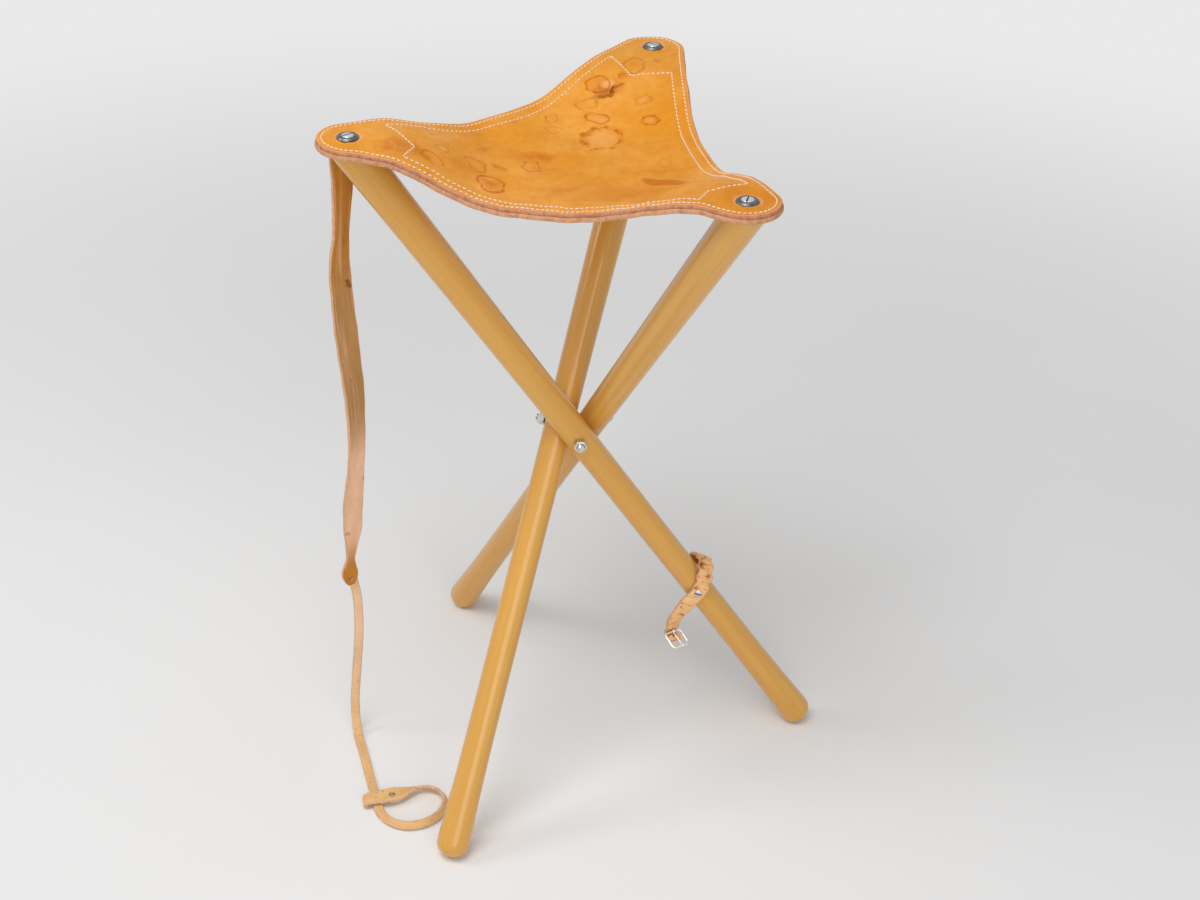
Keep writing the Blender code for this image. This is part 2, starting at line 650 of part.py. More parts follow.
NAIL_POINT = NAIL_AXIS + Vector((NAIL_LEG_RADIUS + STRAP_LIFT, 0, 0))
BAR_POINT = NAIL_POINT + BAR_FROM_NAIL


def hook_points():
    """Strap round the back of the buckle's bar and out under the frame."""
    diagonal = (FRAME_DOWN + FRAME_UP) / math.sqrt(2)
    steps = [FRAME_UP * HOOK_LEAD - FRAME_DOWN * HOOK_RADIUS, -FRAME_DOWN * HOOK_RADIUS,
             -diagonal * HOOK_RADIUS, -FRAME_UP * HOOK_RADIUS,
             FRAME_DOWN * HOOK_TAIL / 2 - FRAME_UP * HOOK_RADIUS,
             FRAME_DOWN * HOOK_TAIL - FRAME_UP * HOOK_RADIUS]
    return [BAR_POINT + step for step in steps]


def buckle_strap_rows():
    rows = []
    for point in reversed(hook_points()):
        rows.append((*point, *BAR_ALONG, BUCKLE_STRAP_WIDTH))
    for count, offset in enumerate(reversed(HANG_ROUTE)):
        share = (count + 1) / len(HANG_ROUTE)
        side = BAR_ALONG.lerp(STRAP_SIDE, share)
        rows.append((*(NAIL_POINT + Vector(offset) * MM), *side, BUCKLE_STRAP_WIDTH))
    rows.append((*NAIL_POINT, *STRAP_SIDE, BUCKLE_STRAP_WIDTH))
    for degrees, stand_off, drift in CURL_ROUTE:
        angle = math.radians(degrees)
        outward = Vector((math.cos(angle), 0, 0)) + UP_STRAP * math.sin(angle)
        point = NAIL_AXIS + outward * (NAIL_LEG_RADIUS + stand_off * MM) + STRAP_SIDE * drift * MM
        rows.append((*point, *STRAP_SIDE, BUCKLE_STRAP_WIDTH))
    return rows


pivot_left = PIVOTS[LEFT]
buckle_strap = ribbon("buckle_strap", buckle_strap_rows(), BUCKLE_STRAP_THICK, pivot_left, STRAP_HIDE)

nail_axes = Matrix.Translation(NAIL_AXIS) @ ALONG_ARM
nail_seat = NAIL_LEG_RADIUS + 2 * CLEARANCE + BUCKLE_STRAP_THICK
nail_tip = NAIL_LEG_RADIUS - NAIL_IN_WOOD
nail_drill = drill("nail_drill", NAIL_RADIUS + CLEARANCE, nail_tip - CLEARANCE, nail_seat + NAIL_HEAD_HEIGHT,
                   nail_axes, pivot_left)
boolean(buckle_strap, nail_drill)
boolean(LEGS[LEFT], nail_drill)
turned("buckle_strap_nail",
       [(0, nail_seat + NAIL_HEAD_HEIGHT), (0.6 * NAIL_HEAD_RADIUS, nail_seat + 0.8 * NAIL_HEAD_HEIGHT),
        (NAIL_HEAD_RADIUS, nail_seat + NAIL_HEAD_HEIGHT / 4), (NAIL_HEAD_RADIUS, nail_seat),
        (NAIL_RADIUS, nail_seat), (NAIL_RADIUS, nail_tip + 2 * NAIL_RADIUS), (0, nail_tip)],
       nail_axes, pivot_left, STEEL, BOLT_SIDES)


# Buckle: a bent wire frame hung on its bar, and the prong that turns on the same bar

bar_axes = Matrix.Translation(BAR_POINT) @ Matrix((-BAR_ALONG, FRAME_DOWN, FRAME_UP)).transposed().to_4x4()
bar_empty = new_empty("buckle_bar", bar_axes, pivot_left)
FRAME_HALF = BUCKLE_STRAP_WIDTH / 2 + BUCKLE_SIDE_GAP + BUCKLE_WIRE_RADIUS
CORNER_STEPS = 4


def frame_points():
    """Centre line of the wire: a rectangle with rounded corners, its bar on the X axis."""
    points = []
    corners = ((FRAME_HALF, 0, -90), (FRAME_HALF, BUCKLE_LENGTH, 0),
               (-FRAME_HALF, BUCKLE_LENGTH, 90), (-FRAME_HALF, 0, 180))
    for x, y, start in corners:
        centre = Vector((math.copysign(FRAME_HALF - BUCKLE_CORNER, x),
                         BUCKLE_CORNER if y == 0 else BUCKLE_LENGTH - BUCKLE_CORNER, 0))
        for step in range(CORNER_STEPS + 1):
            points.append(centre + polar(BUCKLE_CORNER, math.radians(start + 90 * step / CORNER_STEPS)))
    return points


def make_buckle_frame():
    curve = bpy.data.curves.new("buckle_frame", "CURVE")
    curve.dimensions = "3D"
    curve.bevel_depth = BUCKLE_WIRE_RADIUS
    curve.bevel_resolution = 2
    points = frame_points()
    spline = curve.splines.new("POLY")
    spline.points.add(len(points) - 1)
    spline.use_cyclic_u = True
    for target, point in zip(spline.points, points):
        target.co = (*point, 1)
    place("buckle_frame", curve, Matrix.Identity(4), bar_empty, ZINC)


make_buckle_frame()

EYE_RADIUS = BUCKLE_WIRE_RADIUS + CLEARANCE + PRONG_WIRE_RADIUS
PRONG_REST = BUCKLE_WIRE_RADIUS + CLEARANCE + PRONG_WIRE_RADIUS
PRONG_REACH = BUCKLE_LENGTH + BUCKLE_WIRE_RADIUS + PRONG_OVERHANG
PRONG_RISE = PRONG_REST * (PRONG_REACH - EYE_RADIUS) / (BUCKLE_LENGTH - EYE_RADIUS)


def make_prong():
    bpy.ops.mesh.primitive_torus_add(major_radius=EYE_RADIUS, minor_radius=PRONG_WIRE_RADIUS,
                                     major_segments=16, minor_segments=8)
    eye = bpy.context.object
    for collection in eye.users_collection:
        collection.objects.unlink(eye)
    mesh = eye.data
    bpy.data.objects.remove(eye)
    prong = place("buckle_prong", mesh, Matrix.Rotation(math.pi / 2, 4, "Y"), bar_empty, ZINC)
    start = Vector((0, EYE_RADIUS, 0))
    end = Vector((0, PRONG_REACH, PRONG_RISE))
    lie = Matrix.Translation(start) @ (end - start).to_track_quat("Z", "Y").to_matrix().to_4x4()
    name = "prong_rod"
    rod = place(name, rod_mesh(name, PRONG_WIRE_RADIUS, 0, (end - start).length, 8), lie, bar_empty, ZINC)
    boolean(prong, as_cutter(rod), "UNION")


make_prong()

# Slot in the strap's hook where the prong's eye turns, long enough for the prong to hang through
slot_back = EYE_RADIUS + PRONG_WIRE_RADIUS + CLEARANCE
slot_front = HOOK_TAIL - SLOT_END
slot_size = (2 * (PRONG_WIRE_RADIUS + CLEARANCE), slot_front + slot_back, 2 * slot_back)
slot_axes = Matrix.Translation((0, (slot_front - slot_back) / 2, 0))
slot = place("prong_slot", block_mesh("prong_slot", slot_size), slot_axes, bar_empty, STEEL)
boolean(buckle_strap, as_cutter(slot))


# Centre the standing stool on its own box, leaving out the loose strap and thong

def centre_on_box():
    bpy.context.view_layer.update()
    graph = bpy.context.evaluated_depsgraph_get()
    low, high = Vector((math.inf, math.inf)), Vector((-math.inf, -math.inf))
    for part in PARTS.objects:
        if part.type == "EMPTY" or part in (strap, thong):
            continue
        shape = part.evaluated_get(graph)
        mesh = shape.to_mesh()
        for vertex in mesh.vertices:
            place_in_plan = (shape.matrix_world @ vertex.co).xy
            low = Vector(map(min, low, place_in_plan))
            high = Vector(map(max, high, place_in_plan))
        shape.to_mesh_clear()
    middle = (low + high) / 2
    STOOL.location = (-middle.x, -middle.y, 0)


centre_on_box()
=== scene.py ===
"""Folding stool dressed for display: lacquered legs, stitched sling seat, straps and small metalwork."""

import json
import math

import bmesh
import bpy
import numpy as np
from bpy.props import FloatProperty, FloatVectorProperty, PointerProperty
from mathutils import Matrix, Vector


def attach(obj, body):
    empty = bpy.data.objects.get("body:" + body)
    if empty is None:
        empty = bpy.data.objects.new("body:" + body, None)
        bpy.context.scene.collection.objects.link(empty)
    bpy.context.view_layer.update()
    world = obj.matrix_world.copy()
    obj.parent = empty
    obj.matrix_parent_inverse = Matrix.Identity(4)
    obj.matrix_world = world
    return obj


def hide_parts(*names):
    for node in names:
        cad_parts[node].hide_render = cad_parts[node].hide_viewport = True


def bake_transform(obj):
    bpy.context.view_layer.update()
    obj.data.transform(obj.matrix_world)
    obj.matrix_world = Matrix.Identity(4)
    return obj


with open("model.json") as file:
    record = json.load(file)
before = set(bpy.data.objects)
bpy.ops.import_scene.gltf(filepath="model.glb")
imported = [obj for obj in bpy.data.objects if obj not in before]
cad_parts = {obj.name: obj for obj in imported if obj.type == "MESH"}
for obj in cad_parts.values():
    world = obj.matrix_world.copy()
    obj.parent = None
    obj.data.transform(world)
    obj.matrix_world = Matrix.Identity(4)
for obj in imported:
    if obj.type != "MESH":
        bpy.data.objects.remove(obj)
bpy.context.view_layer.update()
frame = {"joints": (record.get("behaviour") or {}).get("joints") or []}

bl_info = {
    "name": "Folding stool",
    "version": (1, 0, 0),
    "blender": (4, 5, 0),
    "location": "3D View > Sidebar > Stool",
    "description": "Dresses the folding stool's frame: wood, seat, stitching, straps and metalwork",
    "category": "Object",
}

MM = 0.001
JOINTS = {joint["name"]: joint for joint in frame["joints"]}

# Legs: lengths along the leg from its pivot
TILT = math.radians(34.1)
LEG_OFFSET = 15.9 * MM
LEG_ABOVE = 320.5 * MM
LEG_BELOW = 378.5 * MM
LEG_TOP_RADIUS = 15.5 * MM
LEG_PIVOT_RADIUS = 12.25 * MM
LEG_WAIST_RADIUS = 12.0 * MM
LEG_WAIST_BELOW = 265 * MM
LEG_FOOT_RADIUS = 13.8 * MM
FOOT_ROUND = 12 * MM

# Seat
LEATHER = 3.1 * MM
SEAT_DEPTH = 6.9 * MM
LOBE_RADIUS = 27 * MM
LOBE_INSET = 3 * MM
EDGE_REACH = 98 * MM
CENTRE_DIP = 36 * MM
CORNER_FLATS = (28 * MM, 50 * MM, 28 * MM)
OPPOSITE_EDGE_DIPS = (26 * MM, 28.5 * MM, 22.5 * MM)
SHOULDER_RADIUS = 205 * MM
LINING_BAND = 16 * MM
FLAT_SOFTNESS = (0.07, 0.16, 0.07)

# Chevron seam of each corner: its point inwards from the screw and to the side, and the slopes of its arms
CHEVRONS = ((49.5 * MM, 8 * MM, 0.55, 0.55), (58 * MM, 0, 0.93, 0.42), (35 * MM, -6 * MM, 0.47, 0.56))

# How the front edge sags beside the frame's even sag: degrees from the edge's middle, millimetres lower
FRONT_EDGE_SAG = ((-60, 0), (-48, 2.5), (-34, 4.5), (-20, 4.3), (-7, 3.8), (11, 1), (22, -1.8), (32, -3),
                  (44, -0.5), (52, 0), (60, 0))
SAG_STARTS, SAG_FULL = 40 * MM, 100 * MM

# Straps
STRAP_THICK = 2.8 * MM
THONG_THICK = 3 * MM
BUCKLE_STRAP_WIDTH = 14 * MM
BUCKLE_STRAP_THICK = 2.5 * MM
BUCKLE_STRAP_SLANT = math.radians(31)
CLEARANCE = 0.3 * MM

CORNERS = ("left", "back", "right")
LEFT, BACK, RIGHT = range(3)
THIRD = 2 * math.pi / 3
FIRST_ARM = math.radians(-90)

HUB = Vector(JOINTS["fold_left"]["pos_m"]) + Vector((0, LEG_OFFSET, 0))
CENTRE = Vector((HUB.x, HUB.y, 0))
LEG_TOP_HEIGHT = HUB.z + LEG_ABOVE * math.cos(TILT)
SEAT_HEIGHT = LEG_TOP_HEIGHT + CLEARANCE + SEAT_DEPTH
STRAP_STEP = STRAP_THICK + CLEARANCE
STRAP_BED = LEG_TOP_HEIGHT - STRAP_STEP + CLEARANCE + STRAP_THICK / 2
LEG_REACH = LEG_ABOVE * math.sin(TILT)
CORNER_RADIUS = math.hypot(LEG_OFFSET, LEG_REACH)
CORNER_LAG = math.atan2(LEG_REACH, LEG_OFFSET)
LOBE_CENTRE = CORNER_RADIUS - LOBE_INSET
EDGE_RADIUS = ((EDGE_REACH ** 2 + LOBE_CENTRE ** 2 - EDGE_REACH * LOBE_CENTRE - LOBE_RADIUS ** 2)
               / (LOBE_CENTRE + 2 * LOBE_RADIUS - 2 * EDGE_REACH))
EDGE_CENTRE = EDGE_REACH + EDGE_RADIUS
LOBE_SPAN = math.atan2(EDGE_CENTRE * math.sin(THIRD / 2), EDGE_CENTRE * math.cos(THIRD / 2) - LOBE_CENTRE)
EDGE_SPAN = LOBE_SPAN - THIRD / 2


def tone(red, green, blue):
    """Colour as the eye reads it, 0 to 255, turned into the linear numbers that shaders take."""
    shares = [value / 255 for value in (red, green, blue)]
    return tuple(s / 12.92 if s <= 0.04045 else ((s + 0.055) / 1.055) ** 2.4 for s in shares)


def colour_property(name, description, default):
    return FloatVectorProperty(name=name, description=description, default=default, subtype="COLOR",
                               size=3, min=0, max=1)


def length_property(name, description, default):
    return FloatProperty(name=name, description=description, default=default, min=0, unit="LENGTH",
                         subtype="DISTANCE", precision=5)


class StoolColours(bpy.types.PropertyGroup):
    """Colours of the stool's wood, leather, thread and metal."""

    wood_light: colour_property("Light wood", "Lacquered wood between its grain lines", tone(232, 178, 90))
    wood_mid: colour_property("Wood", "Main colour of the lacquered wood", tone(219, 162, 70))
    wood_dark: colour_property("Dark wood", "Grain lines of the wood", tone(200, 138, 54))
    hide: colour_property("Seat leather", "Smooth face of the seat", tone(222, 145, 40))
    hide_light: colour_property("Worn seat leather", "Paler places on the seat", tone(233, 164, 72))
    hide_dark: colour_property("Dark seat leather", "Darkened places on the seat", tone(198, 112, 14))
    hide_pale: colour_property("Lifted seat leather", "Places where the face has lifted", tone(234, 172, 118))
    water_mark: colour_property("Water mark", "Old stains on the seat", tone(184, 86, 0))
    dirt: colour_property("Dirt", "Darkest marks on the leather", tone(128, 56, 8))
    cut_edge: colour_property("Cut edge", "Raw cut edges of the seat leather", tone(222, 158, 122))
    lining_edge: colour_property("Lining edge", "Raw cut edges of the lining", tone(228, 170, 128))
    strap_edge: colour_property("Strap edge", "Raw cut edges of the straps", tone(240, 186, 150))
    flesh: colour_property("Flesh side", "Rough side of the leather", tone(200, 148, 96))
    strap: colour_property("Strap leather", "Carrying strap", tone(188, 142, 90))
    strap_golden: colour_property("Golden strap leather", "Ends of the carrying strap", tone(196, 132, 48))
    # Pale strap leather: painted light where the carrying strap's lower part faces the light, and the colour
    # of worn streaks on the straps
    strap_lit_and_worn: colour_property("Pale strap leather", "Lower part of the carrying strap", tone(250, 204, 170))
    thong: colour_property("Thong leather", "Thong and its tab", tone(244, 204, 164))
    thong_golden: colour_property("Golden thong leather", "Floor end of the thong", tone(236, 192, 132))
    buckle_strap: colour_property("Buckle strap leather", "Dry leather of the buckle strap",
                                  tone(252, 200, 142))
    thread: colour_property("Thread", "Sewing thread", tone(248, 226, 204))
    steel: colour_property("Washer steel", "Cup washers", tone(108, 111, 112))
    zinc: colour_property("Zinc", "Bolt, nuts and screws", tone(214, 214, 212))
    nickel: colour_property("Nickel", "Buckle and its prong", tone(244, 242, 238))
    # Screw slot: near-black colour given to the cut faces of the screws' slots
    slot: colour_property("Screw slot", "Dirt in the slots of the screws", tone(58, 54, 50))
    floor: colour_property("Floor", "Floor under the stool", tone(240, 240, 240))


class StoolSizes(bpy.types.PropertyGroup):
    """Sizes of the stitching and the small details that sit on the frame's shapes."""

    stitch_pitch: length_property("Stitch pitch", "From one stitch to the next", 4.0 * MM)
    stitch_length: length_property("Stitch length", "Length of one stitch", 3.0 * MM)
    thread_thick: length_property("Thread", "Thickness of the sewing thread", 1.25 * MM)
    outer_seam: length_property("Outer seam", "Outer seam from the seat's edge", 4.0 * MM)
    inner_seam: length_property("Inner seam", "Inner seam from the seat's edge", 12.0 * MM)
    seam_groove: length_property("Seam groove", "Depth that a seam is drawn into the leather", 0.35 * MM)
    slot_width: length_property("Screw slot", "Width of the slot in a screw's head", 1.1 * MM)


# Shared geometry

def polar(radius, angle):
    return Vector((radius * math.cos(angle), radius * math.sin(angle), 0))


def arm_azimuth(corner):
    """Direction of a bolt arm in plan."""
    return FIRST_ARM - THIRD * corner


def corner_azimuth(corner):
    """Direction of a seat corner in plan."""
    return arm_azimuth(corner) - CORNER_LAG


def leg_matrix(corner):
    """Leg axes: origin on the bolt arm, X out along the arm, Z up the leg."""
    turn = Matrix.Rotation(arm_azimuth(corner), 4, "Z")
    lean = Matrix.Rotation(TILT, 4, "X")
    return Matrix.Translation(HUB) @ turn @ Matrix.Translation((LEG_OFFSET, 0, 0)) @ lean


def corner_matrix(corner):
    """Upright axes over a seat corner at floor level."""
    turn = Matrix.Rotation(corner_azimuth(corner), 4, "Z")
    return Matrix.Translation(CENTRE) @ turn @ Matrix.Translation((CORNER_RADIUS, 0, 0))


ALONG_ARM = Matrix.Rotation(math.pi / 2, 4, "Y")


def arm_matrix(corner):
    """Axes at the bolt's middle with Z out along an arm."""
    return Matrix.Translation(HUB) @ Matrix.Rotation(arm_azimuth(corner), 4, "Z") @ ALONG_ARM


def through_rows(rows, steps):
    """Rows of numbers on a smooth curve through the given rows."""
    rows = np.array(rows, dtype=float)
    padded = np.vstack([2 * rows[0] - rows[1], rows, 2 * rows[-1] - rows[-2]])
    result = []
    for a, b, c, d in zip(padded, padded[1:], padded[2:], padded[3:]):
        for t in np.arange(steps) / steps:
            bend = (2 * a - 5 * b + 4 * c - d) * t ** 2 + (3 * b - a - 3 * c + d) * t ** 3
            result.append((2 * b + (c - a) * t + bend) / 2)
    result.append(rows[-1])
    return np.array(result)


SHARP = math.radians(38)


def new_object(name, data):
    made = bpy.data.objects.new(name, data)
    bpy.context.scene.collection.objects.link(made)
    return made


def as_piece(name, bm, materials, matrix=Matrix.Identity(4)):
    """New object from a bmesh, smooth but for its sharp edges."""
    bmesh.ops.recalc_face_normals(bm, faces=bm.faces)
    for face in bm.faces:
        face.smooth = True
    for edge in bm.edges:
        edge.smooth = len(edge.link_faces) == 2 and edge.calc_face_angle(0) < SHARP
    mesh = bpy.data.meshes.new(name)
    bm.to_mesh(mesh)
    bm.free()
    for material in materials:
        mesh.materials.append(material)
    piece = new_object(name, mesh)
    piece.matrix_world = matrix
    return piece


def lathe(bm, profile, sides, ring=False):
    """Turned shape about Z from (radius, height) points that run down its outer side."""
    circles = []
    for radius, height in profile:
        if radius == 0:
            circles.append([bm.verts.new((0, 0, height))])
        else:
            spots = [polar(radius, 2 * math.pi * side / sides) for side in range(sides)]
            circles.append([bm.verts.new(spot + Vector((0, 0, height))) for spot in spots])
    if ring:
        circles.append(circles[0])
    for upper, lower in zip(circles, circles[1:]):
        for side in range(sides):
            beyond = side + 1
            corners = (upper[side % len(upper)], lower[side % len(lower)],
                       lower[beyond % len(lower)], upper[beyond % len(upper)])
            bm.faces.new(list(dict.fromkeys(corners)))


def wire(bm, points, radius, sides, closed):
    """Round wire along a line of points, closed on itself or with rounded ends."""
    points = [Vector(point) for point in points]
    count = len(points)
    circles = []
    across = None
    for i, point in enumerate(points):
        if closed:
            along = (points[(i + 1) % count] - points[i - 1]).normalized()
        else:
            along = (points[min(i + 1, count - 1)] - points[max(i - 1, 0)]).normalized()
        if across is None:
            across = along.orthogonal()
        across = (across - along * across.dot(along)).normalized()
        third = along.cross(across)
        shares = [(0, 1)]
        if not closed and i in (0, count - 1):
            cap = [(-math.sin(a), math.cos(a)) for a in np.radians((70, 45, 20))] + [(0, 1)]
            shares = cap if i == 0 else [(-back, size) for back, size in reversed(cap)]
        for back, size in shares:
            spots = [across * math.cos(a) + third * math.sin(a)
                     for a in 2 * math.pi * np.arange(sides) / sides]
            circles.append([bm.verts.new(point + along * back * radius + spot * radius * size)
                            for spot in spots])
    if closed:
        circles.append(circles[0])
    for first, second in zip(circles, circles[1:]):
        for side in range(sides):
            beyond = (side + 1) % sides
            bm.faces.new((first[side], first[beyond], second[beyond], second[side]))
    if not closed:
        bm.faces.new(circles[0])
        bm.faces.new(circles[-1])


def cut_away(piece, bm, kind):
    """Takes a shape, given in the piece's own axes, out of the piece; kind is the cut's finish."""
    for face in bm.faces:
        face.material_index = kind
    tool = as_piece("tool", bm, [], piece.matrix_world)
    modifier = piece.modifiers.new("cut", "BOOLEAN")
    modifier.object = tool
    modifier.solver = "EXACT"
    bpy.context.view_layer.update()
    graph = bpy.context.evaluated_depsgraph_get()
    mesh = bpy.data.meshes.new_from_object(piece.evaluated_get(graph))
    piece.modifiers.clear()
    piece.data = mesh
    bpy.data.meshes.remove(tool.data)


def rod(bm, radius, low, high, sides, matrix=Matrix.Identity(4)):
    middle = matrix @ Matrix.Translation((0, 0, (low + high) / 2))
    bmesh.ops.create_cone(bm, cap_ends=True, segments=sides, radius1=radius, radius2=radius,
                          depth=high - low, matrix=middle)


def point_values(mesh, name, values):
    """Stores one number, or one vector, for each vertex for the finishes to read."""
    values = np.asarray(values, dtype=np.float32)
    kind, field = ("FLOAT_VECTOR", "vector") if values.ndim == 2 else ("FLOAT", "value")
    layer = mesh.attributes.new(name, kind, "POINT")
    layer.data.foreach_set(field, values.ravel())


def smooth(mesh):
    mesh.polygons.foreach_set("use_smooth", np.ones(len(mesh.polygons), dtype=bool))


def vertex_places(mesh):
    places = np.empty(3 * len(mesh.vertices), dtype=np.float32)
    mesh.vertices.foreach_get("co", places)
    return places.reshape(-1, 3)


# Finishes

PALE_SURROUNDINGS = (0.82, 0.82, 0.82, 1)
FLOOR_FADES = (0.5, 2.0)


def seen_rays(tree):
    """1 for rays from the camera and for what metal and other glossy surfaces show."""
    rays = tree.nodes.new("ShaderNodeLightPath")
    either = rays.outputs["Is Camera Ray"]
    for ray in ("Is Glossy Ray", "Is Transmission Ray"):
        most = tree.nodes.new("ShaderNodeMath")
        most.operation = "MAXIMUM"
        tree.links.new(either, most.inputs[0])
        tree.links.new(rays.outputs[ray], most.inputs[1])
        either = most.outputs[0]
    return either


class Finish:
    """A material in the making: its shader, and short ways to add and join nodes."""

    def __init__(self, name, constants):
        self.material = bpy.data.materials.new(name)
        self.material.use_nodes = True
        self.tree = self.material.node_tree
        self.shader = self.tree.nodes["Principled BSDF"]
        for socket, value in constants.items():
            self.shader.inputs[socket].default_value = value

    def add(self, kind, sockets, output=0, **settings):
        node = self.tree.nodes.new(kind)
        for setting, value in settings.items():
            setattr(node, setting, value)
        for key, value in sockets.items():
            if isinstance(value, bpy.types.NodeSocket):
                self.tree.links.new(value, node.inputs[key])
            else:
                node.inputs[key].default_value = value
        return node.outputs[output]

    def place(self):
        """Position in the piece's own axes."""
        return self.add("ShaderNodeTexCoord", {}, output="Object")

    def stored(self, name, output="Vector"):
        return self.add("ShaderNodeAttribute", {}, output=output, attribute_name=name)

    def stretched(self, place, scale, location=(0, 0, 0)):
        return self.add("ShaderNodeMapping", {"Vector": place, "Scale": scale, "Location": location})

    def noise(self, place, scale, detail=4.0, roughness=0.55, output=0):
        return self.add("ShaderNodeTexNoise", {"Vector": place, "Scale": scale, "Detail": detail,
                                               "Roughness": roughness}, output=output)

    def cells(self, place, scale, feature="F1"):
        return self.add("ShaderNodeTexVoronoi", {"Vector": place, "Scale": scale}, feature=feature)

    def range(self, value, low, high, to_low=0.0, to_high=1.0):
        return self.add("ShaderNodeMapRange", {"Value": value, "From Min": low, "From Max": high,
                                               "To Min": to_low, "To Max": to_high},
                        interpolation_type="SMOOTHSTEP")

    def math(self, operation, first, second):
        return self.add("ShaderNodeMath", {0: first, 1: second}, operation=operation)

    def times(self, first, second):
        return self.math("MULTIPLY", first, second)

    def plus(self, first, second):
        return self.math("ADD", first, second)

    def larger(self, first, second):
        return self.math("MAXIMUM", first, second)

    def mix(self, share, first, second, blend="MIX"):
        """Mixed colour, where each side is another node's output or three numbers."""
        sides = [side if isinstance(side, bpy.types.NodeSocket) else (*side, 1) for side in (first, second)]
        return self.add("ShaderNodeMix", {0: share, 6: sides[0], 7: sides[1]}, output=2,
                        data_type="RGBA", blend_type=blend)

    def split(self, place, axis):
        return self.add("ShaderNodeSeparateXYZ", {"Vector": place}, output=axis)

    def give(self, **sockets):
        for key, value in sockets.items():
            self.tree.links.new(value, self.shader.inputs[key.replace("_", " ")])

    def bump(self, height, strength, distance, over=None):
        sockets = {"Height": height, "Strength": strength, "Distance": distance}
        if over is not None:
            sockets["Normal"] = over
        return self.add("ShaderNodeBump", sockets)


def darker(colour, share):
    return tuple(value * share for value in colour)


def wood_finish(colours):
    f = Finish("lacquered_wood", {"Coat Weight": 0.6, "Coat Roughness": 0.12, "Specular IOR Level": 0.25})
    place = f.stored("grain_place")
    waver = f.noise(f.stretched(place, (14, 14, 3)), 1.0, 2.0)
    grain = f.noise(f.stretched(place, (85, 85, 2.6)), 1.0, 6.0, 0.62)
    fine = f.noise(f.stretched(place, (520, 520, 9)), 1.0, 4.0, 0.6)
    pores = f.noise(f.stretched(place, (900, 900, 42)), 1.0, 2.0, 0.5)
    lines = f.range(f.plus(grain, f.times(fine, 0.28)), 0.42, 0.86)
    colour = f.mix(lines, colours.wood_dark, colours.wood_light)
    colour = f.mix(f.range(waver, 0.3, 0.7, 0.45, 0.85), colour, colours.wood_mid)
    flecks = f.range(pores, 0.66, 0.78, 0.0, 0.4)
    colour = f.mix(flecks, colour, colours.wood_dark)
    f.give(Base_Color=colour, Roughness=f.range(fine, 0.3, 0.75, 0.26, 0.42),
           Normal=f.bump(f.plus(fine, f.times(flecks, -0.6)), 0.1, 0.12 * MM))
    return f.material


# Old marks on the seat, from the seat's middle in plan: place, half sizes and turn, in millimetres and
# degrees, then strength. Rings are dried water marks, smears are rubbed dirt, scuffs are dark and lifted
# marks pale
RING_MARKS = [
    (21, 72, 9.6, 5, -12, 0.85), (62, 61, 7.6, 5.4, -13, 1.0), (23, 108, 9.9, 8, -17, 0.75),
    (13, 90, 9, 5.5, -12, 0.5), (-17, 77, 6.3, 5, -6, 0.65), (-16, 62, 6.5, 5, 10, 0.35),
    (58, 81, 7.1, 4.5, -14, 0.4), (-117, -27, 7, 10, 38, 0.75), (-108, -5, 4.7, 5.7, 46, 0.5),
    (-83, -11, 8, 10, 38, 0.65), (-38, -1, 8, 9.7, 1, 0.7), (-73, -36, 9.8, 14, 28, 0.8),
    (65, -7, 6.1, 7, -15, 0.3), (56, 126, 8.3, 13, -6, 0.55)]
SMEAR_MARKS = [
    (31, 101, 14, 10, -15, 1.0), (45, 115, 3.4, 6, -23, 0.9), (75, 132, 4.1, 7, -6, 0.6),
    (-33, 17, 16, 9, 1, 0.9), (-143, -27, 20, 17, 37, 0.9), (-65, -5, 5, 7, 21, 0.9),
    (-14, -44, 16, 7, 1, 0.5), (-75, 23, 9, 8, 21, 0.6), (-73, -36, 10, 14, 28, 0.7),
    (-125, -24, 7, 16, 40, 0.7), (60, -20, 40, 5, -8, 0.4), (-95, -25, 26, 20, 35, 0.4)]
SCUFF_MARKS = [
    (27, 93.5, 8, 2.4, -8, 0.7), (34, 97, 3, 4.2, -30, 0.85), (41, 101, 5, 1.8, 20, 0.5),
    (26, 99, 6, 3, -15, 0.4)]
LIFTED_MARKS = [
    (32, 106, 5.7, 4.7, -16, 0.75), (-82, -45, 5.5, 3, 36, 0.6), (-108, -5, 3.4, 4.4, 46, 0.5),
    (62, 61, 5, 3, -13, 0.3), (21, 47, 11, 10, -9, 0.25), (21, 72, 7, 3, -12, 0.25),
    (-112, 14, 7, 4, 44, 0.3), (58, 81, 4.6, 2.6, -14, 0.35)]
ROSETTE = (21, 47, 17, 17, -9, 1)
SPINDLE = (59, -46, 24, 7.5, -47, 0.8)


def mark_distance(f, place, mark):
    """Distance from a mark's middle, with 1 at its outline."""
    x, y, half_long, half_wide, turn, _ = mark
    return f.add("ShaderNodeVectorMath", {0: f.add("ShaderNodeMapping", {
        "Vector": place,
        "Location": (CENTRE.x + x * MM, CENTRE.y + y * MM, SEAT_HEIGHT - CENTRE_DIP),
        "Rotation": (0, 0, math.radians(turn)),
        "Scale": (half_long * MM, half_wide * MM, 10)}, vector_type="TEXTURE")},
        output="Value", operation="LENGTH")


def shifted(f, place, scale, detail, reach):
    """Place moved about by noise, so that outlines drawn from it waver."""
    waver = f.noise(place, scale, detail, output="Color")
    waver = f.add("ShaderNodeVectorMath", {0: waver, 1: (0.5, 0.5, 0.5)}, operation="SUBTRACT")
    waver = f.add("ShaderNodeVectorMath", {0: waver, "Scale": reach}, operation="SCALE")
    return f.add("ShaderNodeVectorMath", {0: place, 1: waver}, operation="ADD")


